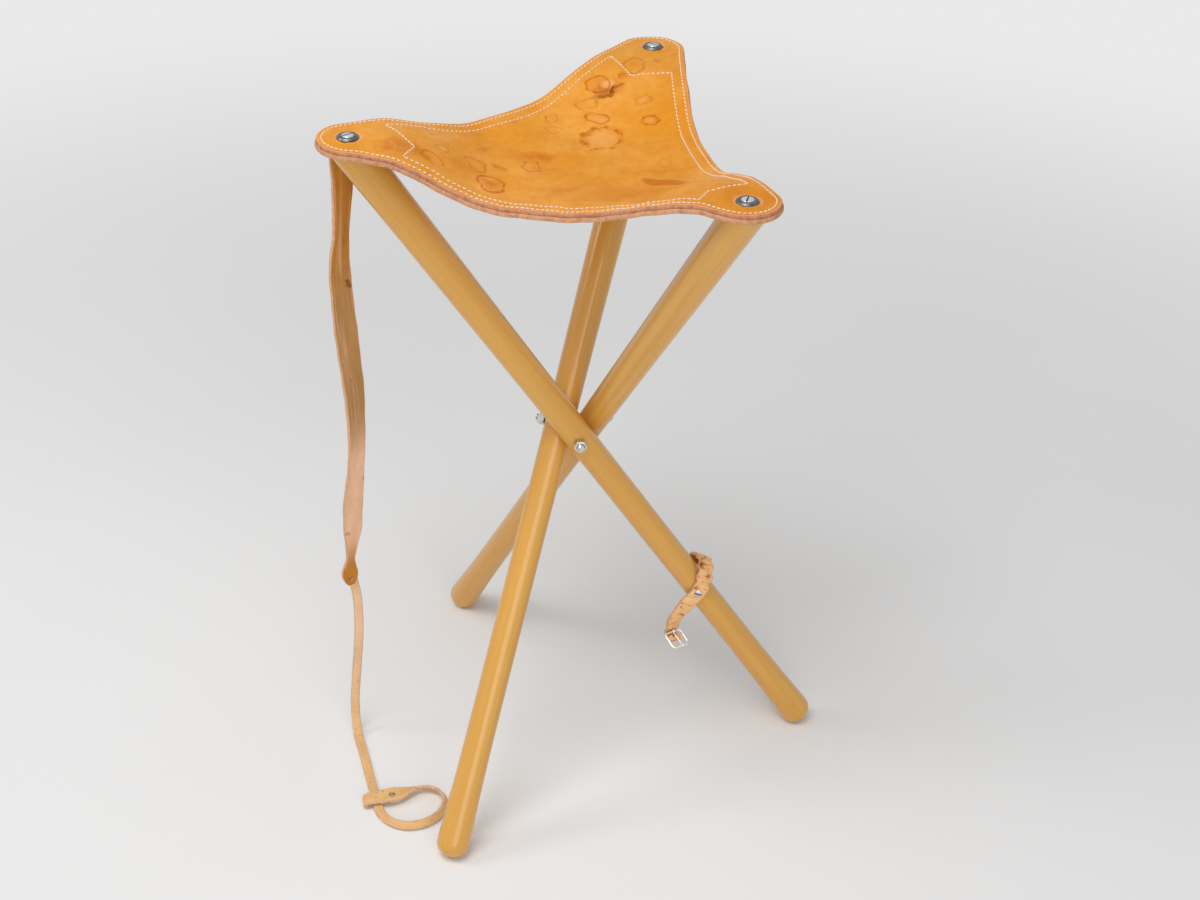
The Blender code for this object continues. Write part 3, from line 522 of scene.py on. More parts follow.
def strongest(f, place, marks, full, gone, share=0.0):
    """Largest share of the marks at a place: all of a mark's strength up to full, and none beyond gone."""
    for mark in marks:
        share = f.larger(share, f.range(mark_distance(f, place, mark), full, gone, mark[-1], 0.0))
    return share


def seat_marks(f, place, mottle):
    """Shares of the seat's rings, smears, scuffs and lifted marks at a place."""
    wavering = shifted(f, shifted(f, place, 70.0, 2.0, 12 * MM), 330.0, 3.0, 3 * MM)
    ragged = shifted(f, wavering, 210.0, 4.0, 9 * MM)
    broken = f.range(f.noise(place, 120.0, 3.0), 0.32, 0.52, 0.3, 1.0)
    rings = smears = 0.0
    for mark in RING_MARKS:
        away = mark_distance(f, wavering, mark)
        line = f.times(f.range(away, 0.8, 0.96), f.range(away, 0.99, 1.12, mark[-1], 0.0))
        rings = f.larger(rings, line)
        smears = f.larger(smears, f.range(away, 0.6, 1.5, 0.2 * mark[-1], 0.0))
    rings = f.times(rings, broken)
    away = mark_distance(f, ragged, ROSETTE)
    band = f.times(f.range(away, 0.55, 0.86), f.range(away, 0.92, 1.16, 0.8, 0.0))
    rings = f.larger(rings, f.times(band, f.range(mottle, 0.4, 0.6, 0.12, 1.0)))
    smears = strongest(f, ragged, SMEAR_MARKS, 0.1, 1.2, smears)
    smears = f.times(smears, f.range(f.noise(place, 75.0, 2.0), 0.3, 0.62, 0.35, 1.0))
    smears = strongest(f, shifted(f, place, 330.0, 2.0, 2 * MM), [SPINDLE], 0.75, 1.05, smears)
    scuffs = strongest(f, wavering, SCUFF_MARKS, 0.5, 1.3)
    lifted = strongest(f, wavering, LIFTED_MARKS, 0.5, 1.15)
    return rings, smears, scuffs, lifted


def seat_finish(colours):
    f = Finish("seat_leather", {"Specular IOR Level": 0.08})
    place = f.stored("rest_place")
    from_edge = f.stored("from_edge", "Fac")
    cloud = f.noise(place, 17.0, 4.0, 0.6)
    mottle = f.noise(place, 140.0, 5.0, 0.65)
    rings, smears, scuffs, lifted = seat_marks(f, place, mottle)
    colour = f.mix(f.range(cloud, 0.3, 0.72), colours.hide, colours.hide_light)
    colour = f.mix(f.range(f.noise(place, 9.0, 3.0), 0.5, 0.75, 0.0, 0.6), colour, colours.hide_dark)
    colour = f.mix(f.range(mottle, 0.35, 0.75, 0.0, 0.25), colour, colours.hide_dark)
    colour = f.mix(f.range(from_edge, 0.4 * MM, 2.2 * MM, 0.5, 0.0), colour, colours.cut_edge)
    colour = f.mix(f.times(smears, 0.78), colour, colours.water_mark)
    colour = f.mix(lifted, colour, colours.hide_pale)
    colour = f.mix(f.times(rings, 0.9), colour, colours.water_mark)
    specks = f.range(f.cells(place, 95.0), 0.0, 0.075, 0.5, 0.0)
    colour = f.mix(f.times(specks, f.range(cloud, 0.5, 0.66)), colour, colours.water_mark)
    colour = f.mix(scuffs, colour, colours.dirt)
    for corner in range(3):
        middle = polar(CORNER_RADIUS, corner_azimuth(corner)) / MM
        away = mark_distance(f, place, (middle.x, middle.y, 10, 10, 0, 1))
        rim = f.times(f.range(away, 0.86, 0.95), f.range(away, 1.0, 1.2, 0.6, 0.0))
        colour = f.mix(rim, colour, colours.hide_pale)
    grain = f.cells(place, 1150.0)
    creases = f.noise(f.stretched(place, (28, 60, 40)), 1.0, 3.0)
    normal = f.bump(creases, 0.3, 1.6 * MM)
    normal = f.bump(f.plus(grain, mottle), 0.2, 0.16 * MM, over=normal)
    f.give(Base_Color=colour, Roughness=f.range(mottle, 0.3, 0.7, 0.42, 0.6), Normal=normal)
    return f.material


def cut_edge_finish(name, colour, stored, mottling):
    """Raw cut edge of leather, with its fibres."""
    f = Finish(name, {"Roughness": 0.85, "Specular IOR Level": 0.2})
    place = f.stored(stored)
    fibres = f.noise(place, 900.0, 4.0, 0.7)
    patches = f.noise(place, 210.0, 4.0, 0.6)
    shade = f.mix(f.range(fibres, 0.35, 0.7), darker(colour, 0.72), colour)
    shade = f.mix(f.range(patches, 0.42, 0.66, 0.0, mottling), shade, (0.58, 0.44, 0.4), "MULTIPLY")
    f.give(Base_Color=shade, Normal=f.bump(fibres, 0.5, 0.3 * MM))
    return f.material


def flesh_finish(colours):
    f = Finish("flesh_side", {"Roughness": 0.9, "Specular IOR Level": 0.2, "Sheen Weight": 0.15})
    place = f.stored("rest_place")
    nap = f.noise(place, 700.0, 5.0, 0.7)
    patches = f.noise(place, 40.0, 4.0)
    colour = f.mix(f.range(patches, 0.3, 0.7), darker(colours.flesh, 0.72), colours.flesh)
    colour = f.mix(f.range(nap, 0.4, 0.8, 0.0, 0.35), colour, colours.hide_light)
    f.give(Base_Color=colour, Normal=f.bump(nap, 0.4, 0.35 * MM))
    return f.material


def strap_finish(name, stops, worn, cracking, fineness=(420, 55, 55), least=0.57, depth=(0.3, 0.16, 0.07)):
    """Strap leather with streaks along it and cracks across it.

    Stops are (distance along the strap, colour). Cracking is (distance, share) at two places along it.
    Fineness is the cracks' closeness along, across and through the strap, and depth is how they darken it.
    """
    f = Finish(name, {"Specular IOR Level": 0.12})
    place = f.stored("strap_place")
    along = f.split(place, 0)
    nap = f.noise(place, 800.0, 4.0, 0.65)
    patches = f.noise(f.stretched(place, (26, 70, 70)), 1.0, 5.0, 0.6)
    streaks = f.noise(f.stretched(place, (12, 330, 200)), 1.0, 4.0, 0.6)
    shade = stops[0][1]
    for (before, _), (here, colour) in zip(stops, stops[1:]):
        shade = f.mix(f.range(along, before, here), shade, colour)
    shade = f.mix(f.range(patches, 0.3, 0.7, 0.55, 0.0), shade, (0.74, 0.66, 0.56), "MULTIPLY")
    shade = f.mix(f.range(streaks, 0.5, 0.78, 0.0, 0.5), shade, worn)
    splits = f.noise(f.stretched(place, fineness), 1.0, 5.0, 0.7)
    (start, few), (end, many) = cracking
    cracks = f.times(f.range(splits, least, least + 0.1), f.range(along, start, end, few, many))
    shade = f.mix(cracks, shade, depth, "MULTIPLY")
    scuffs = f.range(f.noise(f.stretched(place, (60, 60, 60), (3, 1, 0)), 1.0, 3.0), 0.66, 0.74, 0.0, 0.7)
    shade = f.mix(scuffs, shade, (0.36, 0.2, 0.1), "MULTIPLY")
    f.give(Base_Color=shade, Roughness=f.range(nap, 0.3, 0.7, 0.55, 0.8),
           Normal=f.bump(f.math("SUBTRACT", nap, f.times(cracks, 1.5)), 0.35, 0.3 * MM))
    return f.material


def thread_finish(colours):
    f = Finish("sewing_thread", {"Roughness": 0.75, "Specular IOR Level": 0.3, "Sheen Weight": 0.2})
    place = f.stored("rest_place")
    twist = f.noise(place, 1500.0, 2.0)
    soil = f.noise(place, 60.0, 3.0)
    colour = f.mix(f.range(twist, 0.35, 0.7), darker(colours.thread, 0.8), colours.thread)
    colour = f.mix(f.range(soil, 0.45, 0.75, 0.0, 0.3), colour, colours.hide_pale)
    f.give(Base_Color=colour, Normal=f.bump(twist, 0.5, 0.2 * MM))
    return f.material


def metal_finish(name, colour, low, high, wear):
    f = Finish(name, {"Metallic": 1.0})
    place = f.place()
    scratches = f.noise(f.stretched(place, (900, 900, 2600)), 1.0, 3.0, 0.6)
    patches = f.noise(place, 320.0, 4.0)
    dulled = f.mix(f.range(patches, 0.42, 0.72, 0.0, wear), colour, darker(colour, 0.35))
    f.give(Base_Color=dulled, Roughness=f.range(f.plus(scratches, patches), 0.6, 1.4, low, high),
           Normal=f.bump(scratches, 0.12, 0.06 * MM))
    return f.material


def floor_finish(colours):
    """Pale floor that fades into the pale surroundings away from the stool."""
    f = Finish("pale_floor", {"Roughness": 0.9, "Specular IOR Level": 0.0,
                              "Emission Color": PALE_SURROUNDINGS})
    place = f.place()
    drift = f.noise(place, 1.3, 3.0)
    colour = f.mix(f.range(drift, 0.3, 0.7), darker(colours.floor, 0.97), colours.floor)
    away = f.add("ShaderNodeVectorMath", {0: place}, output="Value", operation="LENGTH")
    seen = f.times(f.range(away, *FLOOR_FADES), seen_rays(f.tree))
    f.give(Base_Color=f.mix(seen, colour, (0, 0, 0)), Emission_Strength=seen)
    return f.material


# Stage

CAMERA_PLACE = (-0.1622, -1.4406, 1.1872)
CAMERA_YAW, CAMERA_PITCH, CAMERA_ROLL = 0.1215, 0.5556, -0.0267
CAMERA_LENS = 59.98
SENSOR = 36
WORLD_LIGHT = 0.4
FLOOR_HALF = 8

# Each lamp's name, place, width in metres and watts
LAMPS = (("key_lamp", (-0.6, -0.6, 2.4), 1.4, 24), ("front_lamp", (0.3, -2.5, 1.2), 1.8, 18),
         ("side_lamp", (-1.6, 0.1, 1.5), 0.6, 6))
LAMPS_FACE = Vector((0, 0, 0.35))


def camera_matrix():
    forward = Vector((math.sin(CAMERA_YAW) * math.cos(CAMERA_PITCH),
                      math.cos(CAMERA_YAW) * math.cos(CAMERA_PITCH), -math.sin(CAMERA_PITCH)))
    level = Vector((math.cos(CAMERA_YAW), -math.sin(CAMERA_YAW), 0))
    down = forward.cross(level)
    right = level * math.cos(CAMERA_ROLL) + down * math.sin(CAMERA_ROLL)
    up = level * math.sin(CAMERA_ROLL) - down * math.cos(CAMERA_ROLL)
    turn = Matrix((right, up, -forward)).transposed().to_4x4()
    return Matrix.Translation(CAMERA_PLACE) @ turn


def add_lamp(name, place, size, watts):
    data = bpy.data.lights.new(name, "AREA")
    data.shape = "DISK"
    data.size = size
    data.energy = watts
    lamp = new_object(name, data)
    lamp.location = place
    lamp.rotation_euler = (LAMPS_FACE - Vector(place)).to_track_quat("-Z", "Y").to_euler()


class STOOL_OT_stage(bpy.types.Operator):
    """Camera, soft lamps, pale surroundings and the floor."""

    bl_idname = "stool.stage"
    bl_label = "Set the stage"

    def execute(self, context):
        scene = context.scene
        scene.view_settings.view_transform = "Standard"
        data = bpy.data.cameras.new("camera")
        data.sensor_width = SENSOR
        data.sensor_fit = "HORIZONTAL"
        data.lens = CAMERA_LENS
        camera = new_object("camera", data)
        camera.matrix_world = camera_matrix()
        scene.camera = camera
        for lamp in LAMPS:
            add_lamp(*lamp)
        self.set_world(scene)
        bm = bmesh.new()
        bmesh.ops.create_grid(bm, x_segments=8, y_segments=8, size=FLOOR_HALF)
        floor = as_piece("floor", bm, [floor_finish(scene.stool_colours)])
        return {"FINISHED"}

    def set_world(self, scene):
        """Pale light from all round, seen as a pale background by the camera and in reflections."""
        world = bpy.data.worlds.new("studio")
        world.use_nodes = True
        scene.world = world
        tree = world.node_tree
        light = tree.nodes["Background"]
        light.inputs["Color"].default_value = (1, 1, 1, 1)
        light.inputs["Strength"].default_value = WORLD_LIGHT
        seen = tree.nodes.new("ShaderNodeBackground")
        seen.inputs["Color"].default_value = PALE_SURROUNDINGS
        mix = tree.nodes.new("ShaderNodeMixShader")
        tree.links.new(seen_rays(tree), mix.inputs[0])
        tree.links.new(light.outputs[0], mix.inputs[1])
        tree.links.new(seen.outputs[0], mix.inputs[2])
        tree.links.new(mix.outputs[0], tree.nodes["World Output"].inputs["Surface"])


# Straps

STRAP_STEPS = 8
STRAP_COLUMNS = 8
FACE, BACK_FACE, EDGE = range(3)
CRUMPLE_ENDS = 8 * MM
HOLE_SIDES = 24

# Radius of a strap's rounded edges, as a share of its thickness
STRAP_ROUNDING = 0.3


def strap_stations(rows):
    """Rows of centre, side and width along a strap, each with its distance along it."""
    stations = through_rows(rows, STRAP_STEPS)
    steps = np.linalg.norm(np.diff(stations[:, :3], axis=0), axis=1)
    return np.column_stack([stations, np.concatenate([[0], np.cumsum(steps)])])


def strap_frames(stations):
    """Along, side and face directions at each station."""
    centres = stations[:, :3]
    along = np.gradient(centres, axis=0)
    along /= np.linalg.norm(along, axis=1)[:, None]
    side = stations[:, 3:6] - along * np.sum(stations[:, 3:6] * along, axis=1)[:, None]
    side /= np.linalg.norm(side, axis=1)[:, None]
    return along, side, np.cross(along, side)


def strap_section(half, thickness, rounding):
    """Points round a strap's section as (across, through), and the kind of face after each."""
    half_thick = thickness / 2
    flat = half - rounding
    corner = [(rounding * math.sin(a), rounding * math.cos(a)) for a in np.radians((30, 60, 90))]
    points = [(flat * (2 * c / STRAP_COLUMNS - 1), half_thick) for c in range(STRAP_COLUMNS + 1)]
    kinds = [FACE] * STRAP_COLUMNS
    points += [(flat + u, half_thick - rounding + v) for u, v in corner]
    points += [(flat + u, rounding - half_thick - v) for u, v in reversed(corner)]
    kinds += [EDGE] * (2 * len(corner) + 1)
    points += [(-u, -half_thick) for u, v in points[:STRAP_COLUMNS + 1]]
    kinds += [BACK_FACE] * STRAP_COLUMNS
    points += [(-flat - u, rounding - half_thick - v) for u, v in corner]
    points += [(-flat - u, half_thick - rounding + v) for u, v in reversed(corner)]
    kinds += [EDGE] * (2 * len(corner) + 1)
    return points, kinds


def make_strap(name, stations, thickness, materials, cup=0.0, ripple=0.0, crumple=0.0, crumpled=(0, 1)):
    """Leather strap with rounded edges, cupped, uneven and crumpled between two distances along it."""
    _, side, face = strap_frames(stations)
    bm = bmesh.new()
    loops = []
    start, end = crumpled
    for row, across, outward in zip(stations, side, face):
        half, distance = row[6] / 2, row[7]
        uneven = 0.35 * MM * math.sin(distance * 190 + 1) * math.sin(distance * 71) if ripple else 0
        lift = ripple * (math.sin(distance * 61) + 0.6 * math.sin(distance * 143 + 2))
        within = (distance - start) * (end - distance) / (CRUMPLE_ENDS * (end - start))
        share = crumple * min(max(within, 0), 1)
        uneven += share * math.sin(distance * 640 + 1)
        points, kinds = strap_section(half + uneven, thickness, STRAP_ROUNDING * thickness)
        loop = []
        for u, v in points:
            off = u / half
            wave = math.sin(distance * 1180 + 2.2 * off + math.sin(distance * 410))
            rise = v + cup * off ** 2 + share * wave * math.cos(0.9 * off) + lift
            loop.append(bm.verts.new(Vector(row[:3]) + Vector(across) * u + Vector(outward) * rise))
        loops.append(loop)
    for first, second in zip(loops, loops[1:]):
        for i, kind in enumerate(kinds):
            beyond = (i + 1) % len(kinds)
            made = bm.faces.new((first[i], first[beyond], second[beyond], second[i]))
            made.material_index = kind
    for loop in (loops[0], loops[-1]):
        bm.faces.new(loop).material_index = EDGE
    return as_piece(name, bm, materials)


def mark_strap(piece, stations):
    """Stores each vertex's place along, across and through the strap."""
    along, side, face = strap_frames(stations)
    places = vertex_places(piece.data).astype(float)
    nearest = np.array([np.argmin(np.sum((stations[:, :3] - spot) ** 2, axis=1)) for spot in places])
    offset = places - stations[nearest, :3]
    values = [stations[nearest, 7] + np.sum(offset * along[nearest], axis=1),
              np.sum(offset * side[nearest], axis=1), np.sum(offset * face[nearest], axis=1)]
    point_values(piece.data, "strap_place", np.column_stack(values))


# Each row of the carrying strap is its middle from the stool's centre line in millimetres, its height
# below the leg's cut top, the way that its right-hand side faces in degrees, and its width
STRAP_ROUTE = [
    (-179, -29, 0, 5, 20), (-179.5, -22, 0, 5, 20), (-180.5, -12, 0, 8, 20), (-182.2, -2, 0, 11, 20),
    (-183.2, 2.8, -0.9, 13, 20), (-184.3, 6.6, -5, 15, 20), (-185, 8.4, -11, 17, 20),
    (-185.6, 8.8, -20, 21, 20),
    (-186, 8, -34, 30, 20), (-187, 6, -52, 42, 20), (-189, 5, -78, 52, 20), (-191.5, 4, -106, 40, 20),
    (-190.5, 3, -140, 30, 20), (-188, 2.5, -181, 27, 20), (-184.5, 2, -232, 40, 20),
    (-185, 2, -281, 50, 20), (-190, 2, -331, 38, 20), (-191.5, 2, -360, 33, 18),
    (-193, 2, -375, 30, 12), (-194.5, 2, -388, 28, 8), (-195.5, 2, -397, 24, 11.5),
    (-196, 2, -405, 20, 15), (-195.5, 2, -413, 20, 12.5), (-195, 2, -418, 20, 7)]
STRAP_HOLE = (-195.5, 2, -411)
STRAP_HOLE_FACING = math.radians(20)
STRAP_HOLE_RADIUS = 2 * MM

# Each row of the thong is its middle from the stool's centre line and the floor in millimetres, the
# direction of its side, and its width
THONG_ROUTE = [
    (-195.8, 6.2, 176, 0.94, 0.34, 0, 8), (-194.2, 6.3, 167, 0.94, 0.34, 0, 8),
    (-191.8, 5.8, 155, 0.96, 0.28, 0, 8), (-190.2, 4.8, 138, 0.98, 0.2, 0, 8),
    (-190.8, 4, 105, 1, 0.1, 0, 8), (-194.2, 4, 66, 1, 0.1, 0, 8), (-197, 3, 34, 1, 0, 0, 8),
    (-197, -1, 14, 1, 0, 0, 8), (-196, -9, 5, 1, 0, 0, 8), (-194.5, -19, 2.3, 1, 0, 0, 8),
    (-191.8, -32, 2, 1, 0.2, 0, 8), (-188.6, -52, 2, 1, 0.2, 0, 8), (-184.6, -76, 2, 1, 0.18, 0, 8),
    (-181.4, -95, 2, 1, 0.2, 0, 8), (-178.6, -111, 2, 1, 0.3, 0, 8), (-174.5, -122, 2.6, 0.9, 0.5, 0.2, 8),
    (-167, -131.5, 4, 0.55, 0.6, 0.7, 7.5), (-155, -137.5, 4.8, 0.1, 0.5, 1, 7.5),
    (-140, -135.5, 4.8, -0.3, 0.5, 1, 7.5), (-127.5, -126.5, 4.8, -0.5, 0.3, 1, 7.5),
    (-121, -112.5, 4.8, -0.5, 0, 1, 7.5), (-123.5, -99, 5, -0.4, -0.4, 1, 7.5),
    (-133, -91.5, 5.2, -0.1, -0.6, 1, 7.5), (-144, -91, 5.6, 0.1, -0.8, 0.8, 8),
    (-152, -94, 6, 0.2, -1, 0.3, 10), (-160, -97.5, 6.2, 0.2, -1, 0, 15),
    (-168, -99.5, 6.2, 0.15, -1, 0, 17), (-176, -101, 6.2, 0.1, -1, 0, 15.5),
    (-186, -102.6, 6.2, 0.1, -1, 0, 14), (-189.6, -103.2, 4.9, 0.1, -1, 0, 13.5),
    (-190.6, -103.3, 2.2, 0.1, -1, 0, 13)]
TAB_STARTS_AT = 24
TAB_HOLE = (-166.5, -99.5, 6.2)
TAB_HOLE_RADIUS = 3.1 * MM


def strap_rows():
    rows = []
    for x, y, below, facing, width in STRAP_ROUTE:
        angle = math.radians(facing)
        rows.append((CENTRE.x + x * MM, CENTRE.y + y * MM, STRAP_BED + below * MM,
                     math.cos(angle), math.sin(angle), 0, width * MM))
    return rows


def thong_rows():
    return [(CENTRE.x + x * MM, CENTRE.y + y * MM, z * MM, side_x, side_y, side_z, width * MM)
            for x, y, z, side_x, side_y, side_z, width in THONG_ROUTE]


class STOOL_OT_carry_strap(bpy.types.Operator):
    """Carrying strap that is clamped under the left corner and hangs behind the leg."""

    bl_idname = "stool.carry_strap"
    bl_label = "Make the carrying strap"

    def execute(self, context):
        colours = context.scene.stool_colours
        rows = strap_rows()
        stations = strap_stations(rows)
        # Colour stops along the carrying strap: the pale band, faded in from 0.27 m and full from 0.33 to 0.4
        # m, is painted light where the strap's lower part faces the light
        stops = [(0.1, colours.strap_golden), (0.2, colours.strap), (0.27, colours.strap),
                 (0.33, colours.strap_lit_and_worn), (0.4, colours.strap_lit_and_worn), (0.435, colours.strap_golden)]
        finishes = [strap_finish("strap_front", stops, colours.strap_lit_and_worn, ((0, 0.15), (0.4, 0.15))),
                    strap_finish("strap_back", [(0, colours.strap)], colours.flesh, ((0, 0.3), (0.4, 0.3))),
                    cut_edge_finish("strap_edge", colours.strap_edge, "strap_place", 0.2)]
        strap = make_strap("carry_strap_leather", stations, STRAP_THICK, finishes,
                           cup=0.3 * MM, ripple=0.12 * MM)
        bm = bmesh.new()
        x, y, below = STRAP_HOLE
        punch = (Matrix.Translation((CENTRE.x + x * MM, CENTRE.y + y * MM, STRAP_BED + below * MM))
                 @ Matrix.Rotation(STRAP_HOLE_FACING, 4, "Z") @ Matrix.Rotation(math.pi / 2, 4, "X"))
        rod(bm, STRAP_HOLE_RADIUS, -2 * STRAP_THICK, 2 * STRAP_THICK, HOLE_SIDES, punch)
        cut_away(strap, bm, EDGE)
        mark_strap(strap, stations)
        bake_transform(strap)
        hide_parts("carry_strap")
        return {"FINISHED"}


class STOOL_OT_thong(bpy.types.Operator):
    """Thong behind the strap's end, with the tab that makes its slip loop on the floor."""

    bl_idname = "stool.thong"
    bl_label = "Make the thong"

    def execute(self, context):
        colours = context.scene.stool_colours
        rows = thong_rows()
        stations = strap_stations(rows)
        split = TAB_STARTS_AT * STRAP_STEPS
        stops = [(0.08, colours.thong), (0.2, colours.thong_golden)]
        specks = (420, 240, 240)
        finishes = [strap_finish("thong_face", stops, colours.strap_lit_and_worn, ((0.06, 0.1), (0.16, 0.8)),
                                 specks, 0.6),
                    strap_finish("thong_back", [(0, colours.thong_golden)], colours.thong,
                                 ((0.1, 0.1), (0.2, 0.6)), specks, 0.6),
                    cut_edge_finish("thong_edge", colours.thong, "strap_place", 0.4)]
        thong = make_strap("thong_leather", stations[:split + 1], THONG_THICK, finishes)
        mark_strap(thong, stations)
        tab = make_strap("thong_tab", stations[split:], THONG_THICK, finishes)
        bm = bmesh.new()
        x, y, z = TAB_HOLE
        rod(bm, TAB_HOLE_RADIUS, -THONG_THICK, THONG_THICK, HOLE_SIDES,
            Matrix.Translation((CENTRE.x + x * MM, CENTRE.y + y * MM, z * MM)))
        cut_away(tab, bm, EDGE)
        mark_strap(tab, stations)
        for piece in (thong, tab):
            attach(piece, "hanging_strap")
            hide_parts("strap_thong")
        return {"FINISHED"}


# Legs

LEG_SIDES = 72
LEG_RINGS = 16
FOOT_RINGS = 12


def leg_stations():
    """Leg outline down to the start of its rounded foot: height and radius."""
    shaft = through_rows([(LEG_ABOVE, LEG_TOP_RADIUS), (0, LEG_PIVOT_RADIUS),
                          (-LEG_WAIST_BELOW, LEG_WAIST_RADIUS),
                          (FOOT_ROUND - LEG_BELOW, LEG_FOOT_RADIUS)], LEG_RINGS)
    return np.vstack([(LEG_ABOVE + 2 * LEG_TOP_RADIUS * math.tan(TILT), LEG_TOP_RADIUS), shaft])


def leg_radius(height):
    stations = leg_stations()[::-1]
    return float(np.interp(height, stations[:, 0], stations[:, 1]))


class STOOL_OT_legs(bpy.types.Operator):
    """Three turned legs, cut level at the top and worn flat at the foot."""

    bl_idname = "stool.legs"
    bl_label = "Make the legs"

    def execute(self, context):
        wood = wood_finish(context.scene.stool_colours)
        stations = leg_stations()
        profile = [(0, stations[0][0])] + [(radius, height) for height, radius in stations]
        for ring in range(1, FOOT_RINGS):
            angle = math.pi / 2 * ring / FOOT_RINGS
            profile.append((LEG_FOOT_RADIUS * math.cos(angle),
                            FOOT_ROUND - LEG_BELOW - FOOT_ROUND * math.sin(angle)))
        profile.append((0, -LEG_BELOW))
        for corner, name in enumerate(CORNERS):
            bm = bmesh.new()
            lathe(bm, profile, LEG_SIDES)
            axes = leg_matrix(corner)
            top = LEG_TOP_HEIGHT - (STRAP_STEP if corner == LEFT else 0)
            upward = axes.to_3x3().transposed() @ Vector((0, 0, 1))
            for height, keep_below in ((top, True), (0, False)):
                self.saw(bm, axes.inverted() @ Vector((0, 0, height)), upward, keep_below)
            leg = as_piece(f"turned_leg_{name}", bm, [wood])
            point_values(leg.data, "grain_place", vertex_places(leg.data) + np.array((corner, 0, 0)))
            leg.data.transform(axes)
            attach(leg, f"{name}_leg")
            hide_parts(f"leg_{name}")
        return {"FINISHED"}

    def saw(self, bm, place, normal, keep_below):
        """Cuts the leg level and closes the cut."""
        every = bm.verts[:] + bm.edges[:] + bm.faces[:]
        cut = bmesh.ops.bisect_plane(bm, geom=every, plane_co=place, plane_no=normal,
                                     clear_outer=keep_below, clear_inner=not keep_below)
        rim = [item for item in cut["geom_cut"] if isinstance(item, bmesh.types.BMEdge)]
        bmesh.ops.holes_fill(bm, edges=rim)


# Bolt and nuts

BOLT_RADIUS = 3 * MM
BOLT_SIDES = 32
NUT_FLATS = 10 * MM
NUT_HEIGHT = 6 * MM
NUT_SEAT = LEG_OFFSET + LEG_PIVOT_RADIUS + CLEARANCE
ARM_LENGTH = NUT_SEAT + NUT_HEIGHT + 3 * MM
THREAD_PITCH = 1 * MM
THREAD_DEPTH = 0.35 * MM
THREAD_STARTS = 0.9 * MM
NUT_SEGMENTS = 60
NUT_FACE = 0.47 * NUT_FLATS
NUT_STEPS = 6
NUT_SLOPE = math.sqrt(3)
BORE_PLAY = 0.05 * MM
BORE_CHAMFER = 0.5 * MM
WELD = 0.002 * MM

# Chamfered end of the bolt: distance in from its side and down from its tip
BOLT_END = ((0.8 * MM, 0), (0.1 * MM, 0.7 * MM))


def arm_profile():
    """Bolt arm from its chamfered end down to its middle, grooved where its thread shows."""
    profile = [(0, ARM_LENGTH)] + [(BOLT_RADIUS - inwards, ARM_LENGTH - down) for inwards, down in BOLT_END]
    height = ARM_LENGTH - THREAD_STARTS
    while height > NUT_SEAT - THREAD_PITCH:
        profile += [(BOLT_RADIUS, height), (BOLT_RADIUS, height - 0.2 * THREAD_PITCH),
                    (BOLT_RADIUS - THREAD_DEPTH, height - 0.6 * THREAD_PITCH)]
        height -= THREAD_PITCH
    return profile + [(BOLT_RADIUS, height), (BOLT_RADIUS, 0), (0, 0)]


def nut_rings():
    """Rings of a hexagon nut along Z as (radius limit, height), chamfered on both faces."""
    drop = (NUT_FLATS / math.sqrt(3) - NUT_FACE) / NUT_SLOPE
    steps = [drop * step / NUT_STEPS for step in range(NUT_STEPS + 1)]
    rings = [(NUT_FACE + depth * NUT_SLOPE, NUT_SEAT + NUT_HEIGHT - depth) for depth in steps]
    return rings + [(NUT_FACE + depth * NUT_SLOPE, NUT_SEAT + depth) for depth in reversed(steps)]


class STOOL_OT_bolt(bpy.types.Operator):
    """Three-way bolt and its three nuts."""

    bl_idname = "stool.bolt"
    bl_label = "Make the bolt and nuts"

    def execute(self, context):
        zinc = metal_finish("bright_zinc", context.scene.stool_colours.zinc, 0.16, 0.34, 0.45)
        for corner, name in enumerate(CORNERS):
            bm = bmesh.new()
            lathe(bm, arm_profile(), BOLT_SIDES)
            arm = as_piece(f"bolt_arm_{name}", bm, [zinc], arm_matrix(corner))
            nut = self.make_nut(name, corner, zinc)
            for piece, node in ((arm, "three_way_bolt"), (nut, f"pivot_nut_{name}")):
                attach(piece, "hub")
                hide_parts(node)
        return {"FINISHED"}

    def make_nut(self, name, corner, zinc):
        bm = bmesh.new()
        bore = BOLT_RADIUS + BORE_PLAY
        top, foot = NUT_SEAT + NUT_HEIGHT, NUT_SEAT
        rings = [(bore, top - BORE_CHAMFER), (bore + BORE_CHAMFER, top), *nut_rings(),
                 (bore + BORE_CHAMFER, foot), (bore, foot + BORE_CHAMFER)]
        circles = []
        for limit, height in rings:
            circle = []
            for segment in range(NUT_SEGMENTS):
                angle = 2 * math.pi * segment / NUT_SEGMENTS
                off_flat = (angle + math.pi / 6) % (math.pi / 3) - math.pi / 6
                radius = min(limit, NUT_FLATS / 2 / math.cos(off_flat))
                circle.append(bm.verts.new(polar(radius, angle) + Vector((0, 0, height))))
            circles.append(circle)
        for first, second in zip(circles, circles[1:] + circles[:1]):
            for segment in range(NUT_SEGMENTS):
                beyond = (segment + 1) % NUT_SEGMENTS
                bm.faces.new((first[segment], second[segment], second[beyond], first[beyond]))
        bmesh.ops.remove_doubles(bm, verts=bm.verts, dist=WELD)
        return as_piece(f"hexagon_nut_{name}", bm, [zinc], arm_matrix(corner))


# Seat

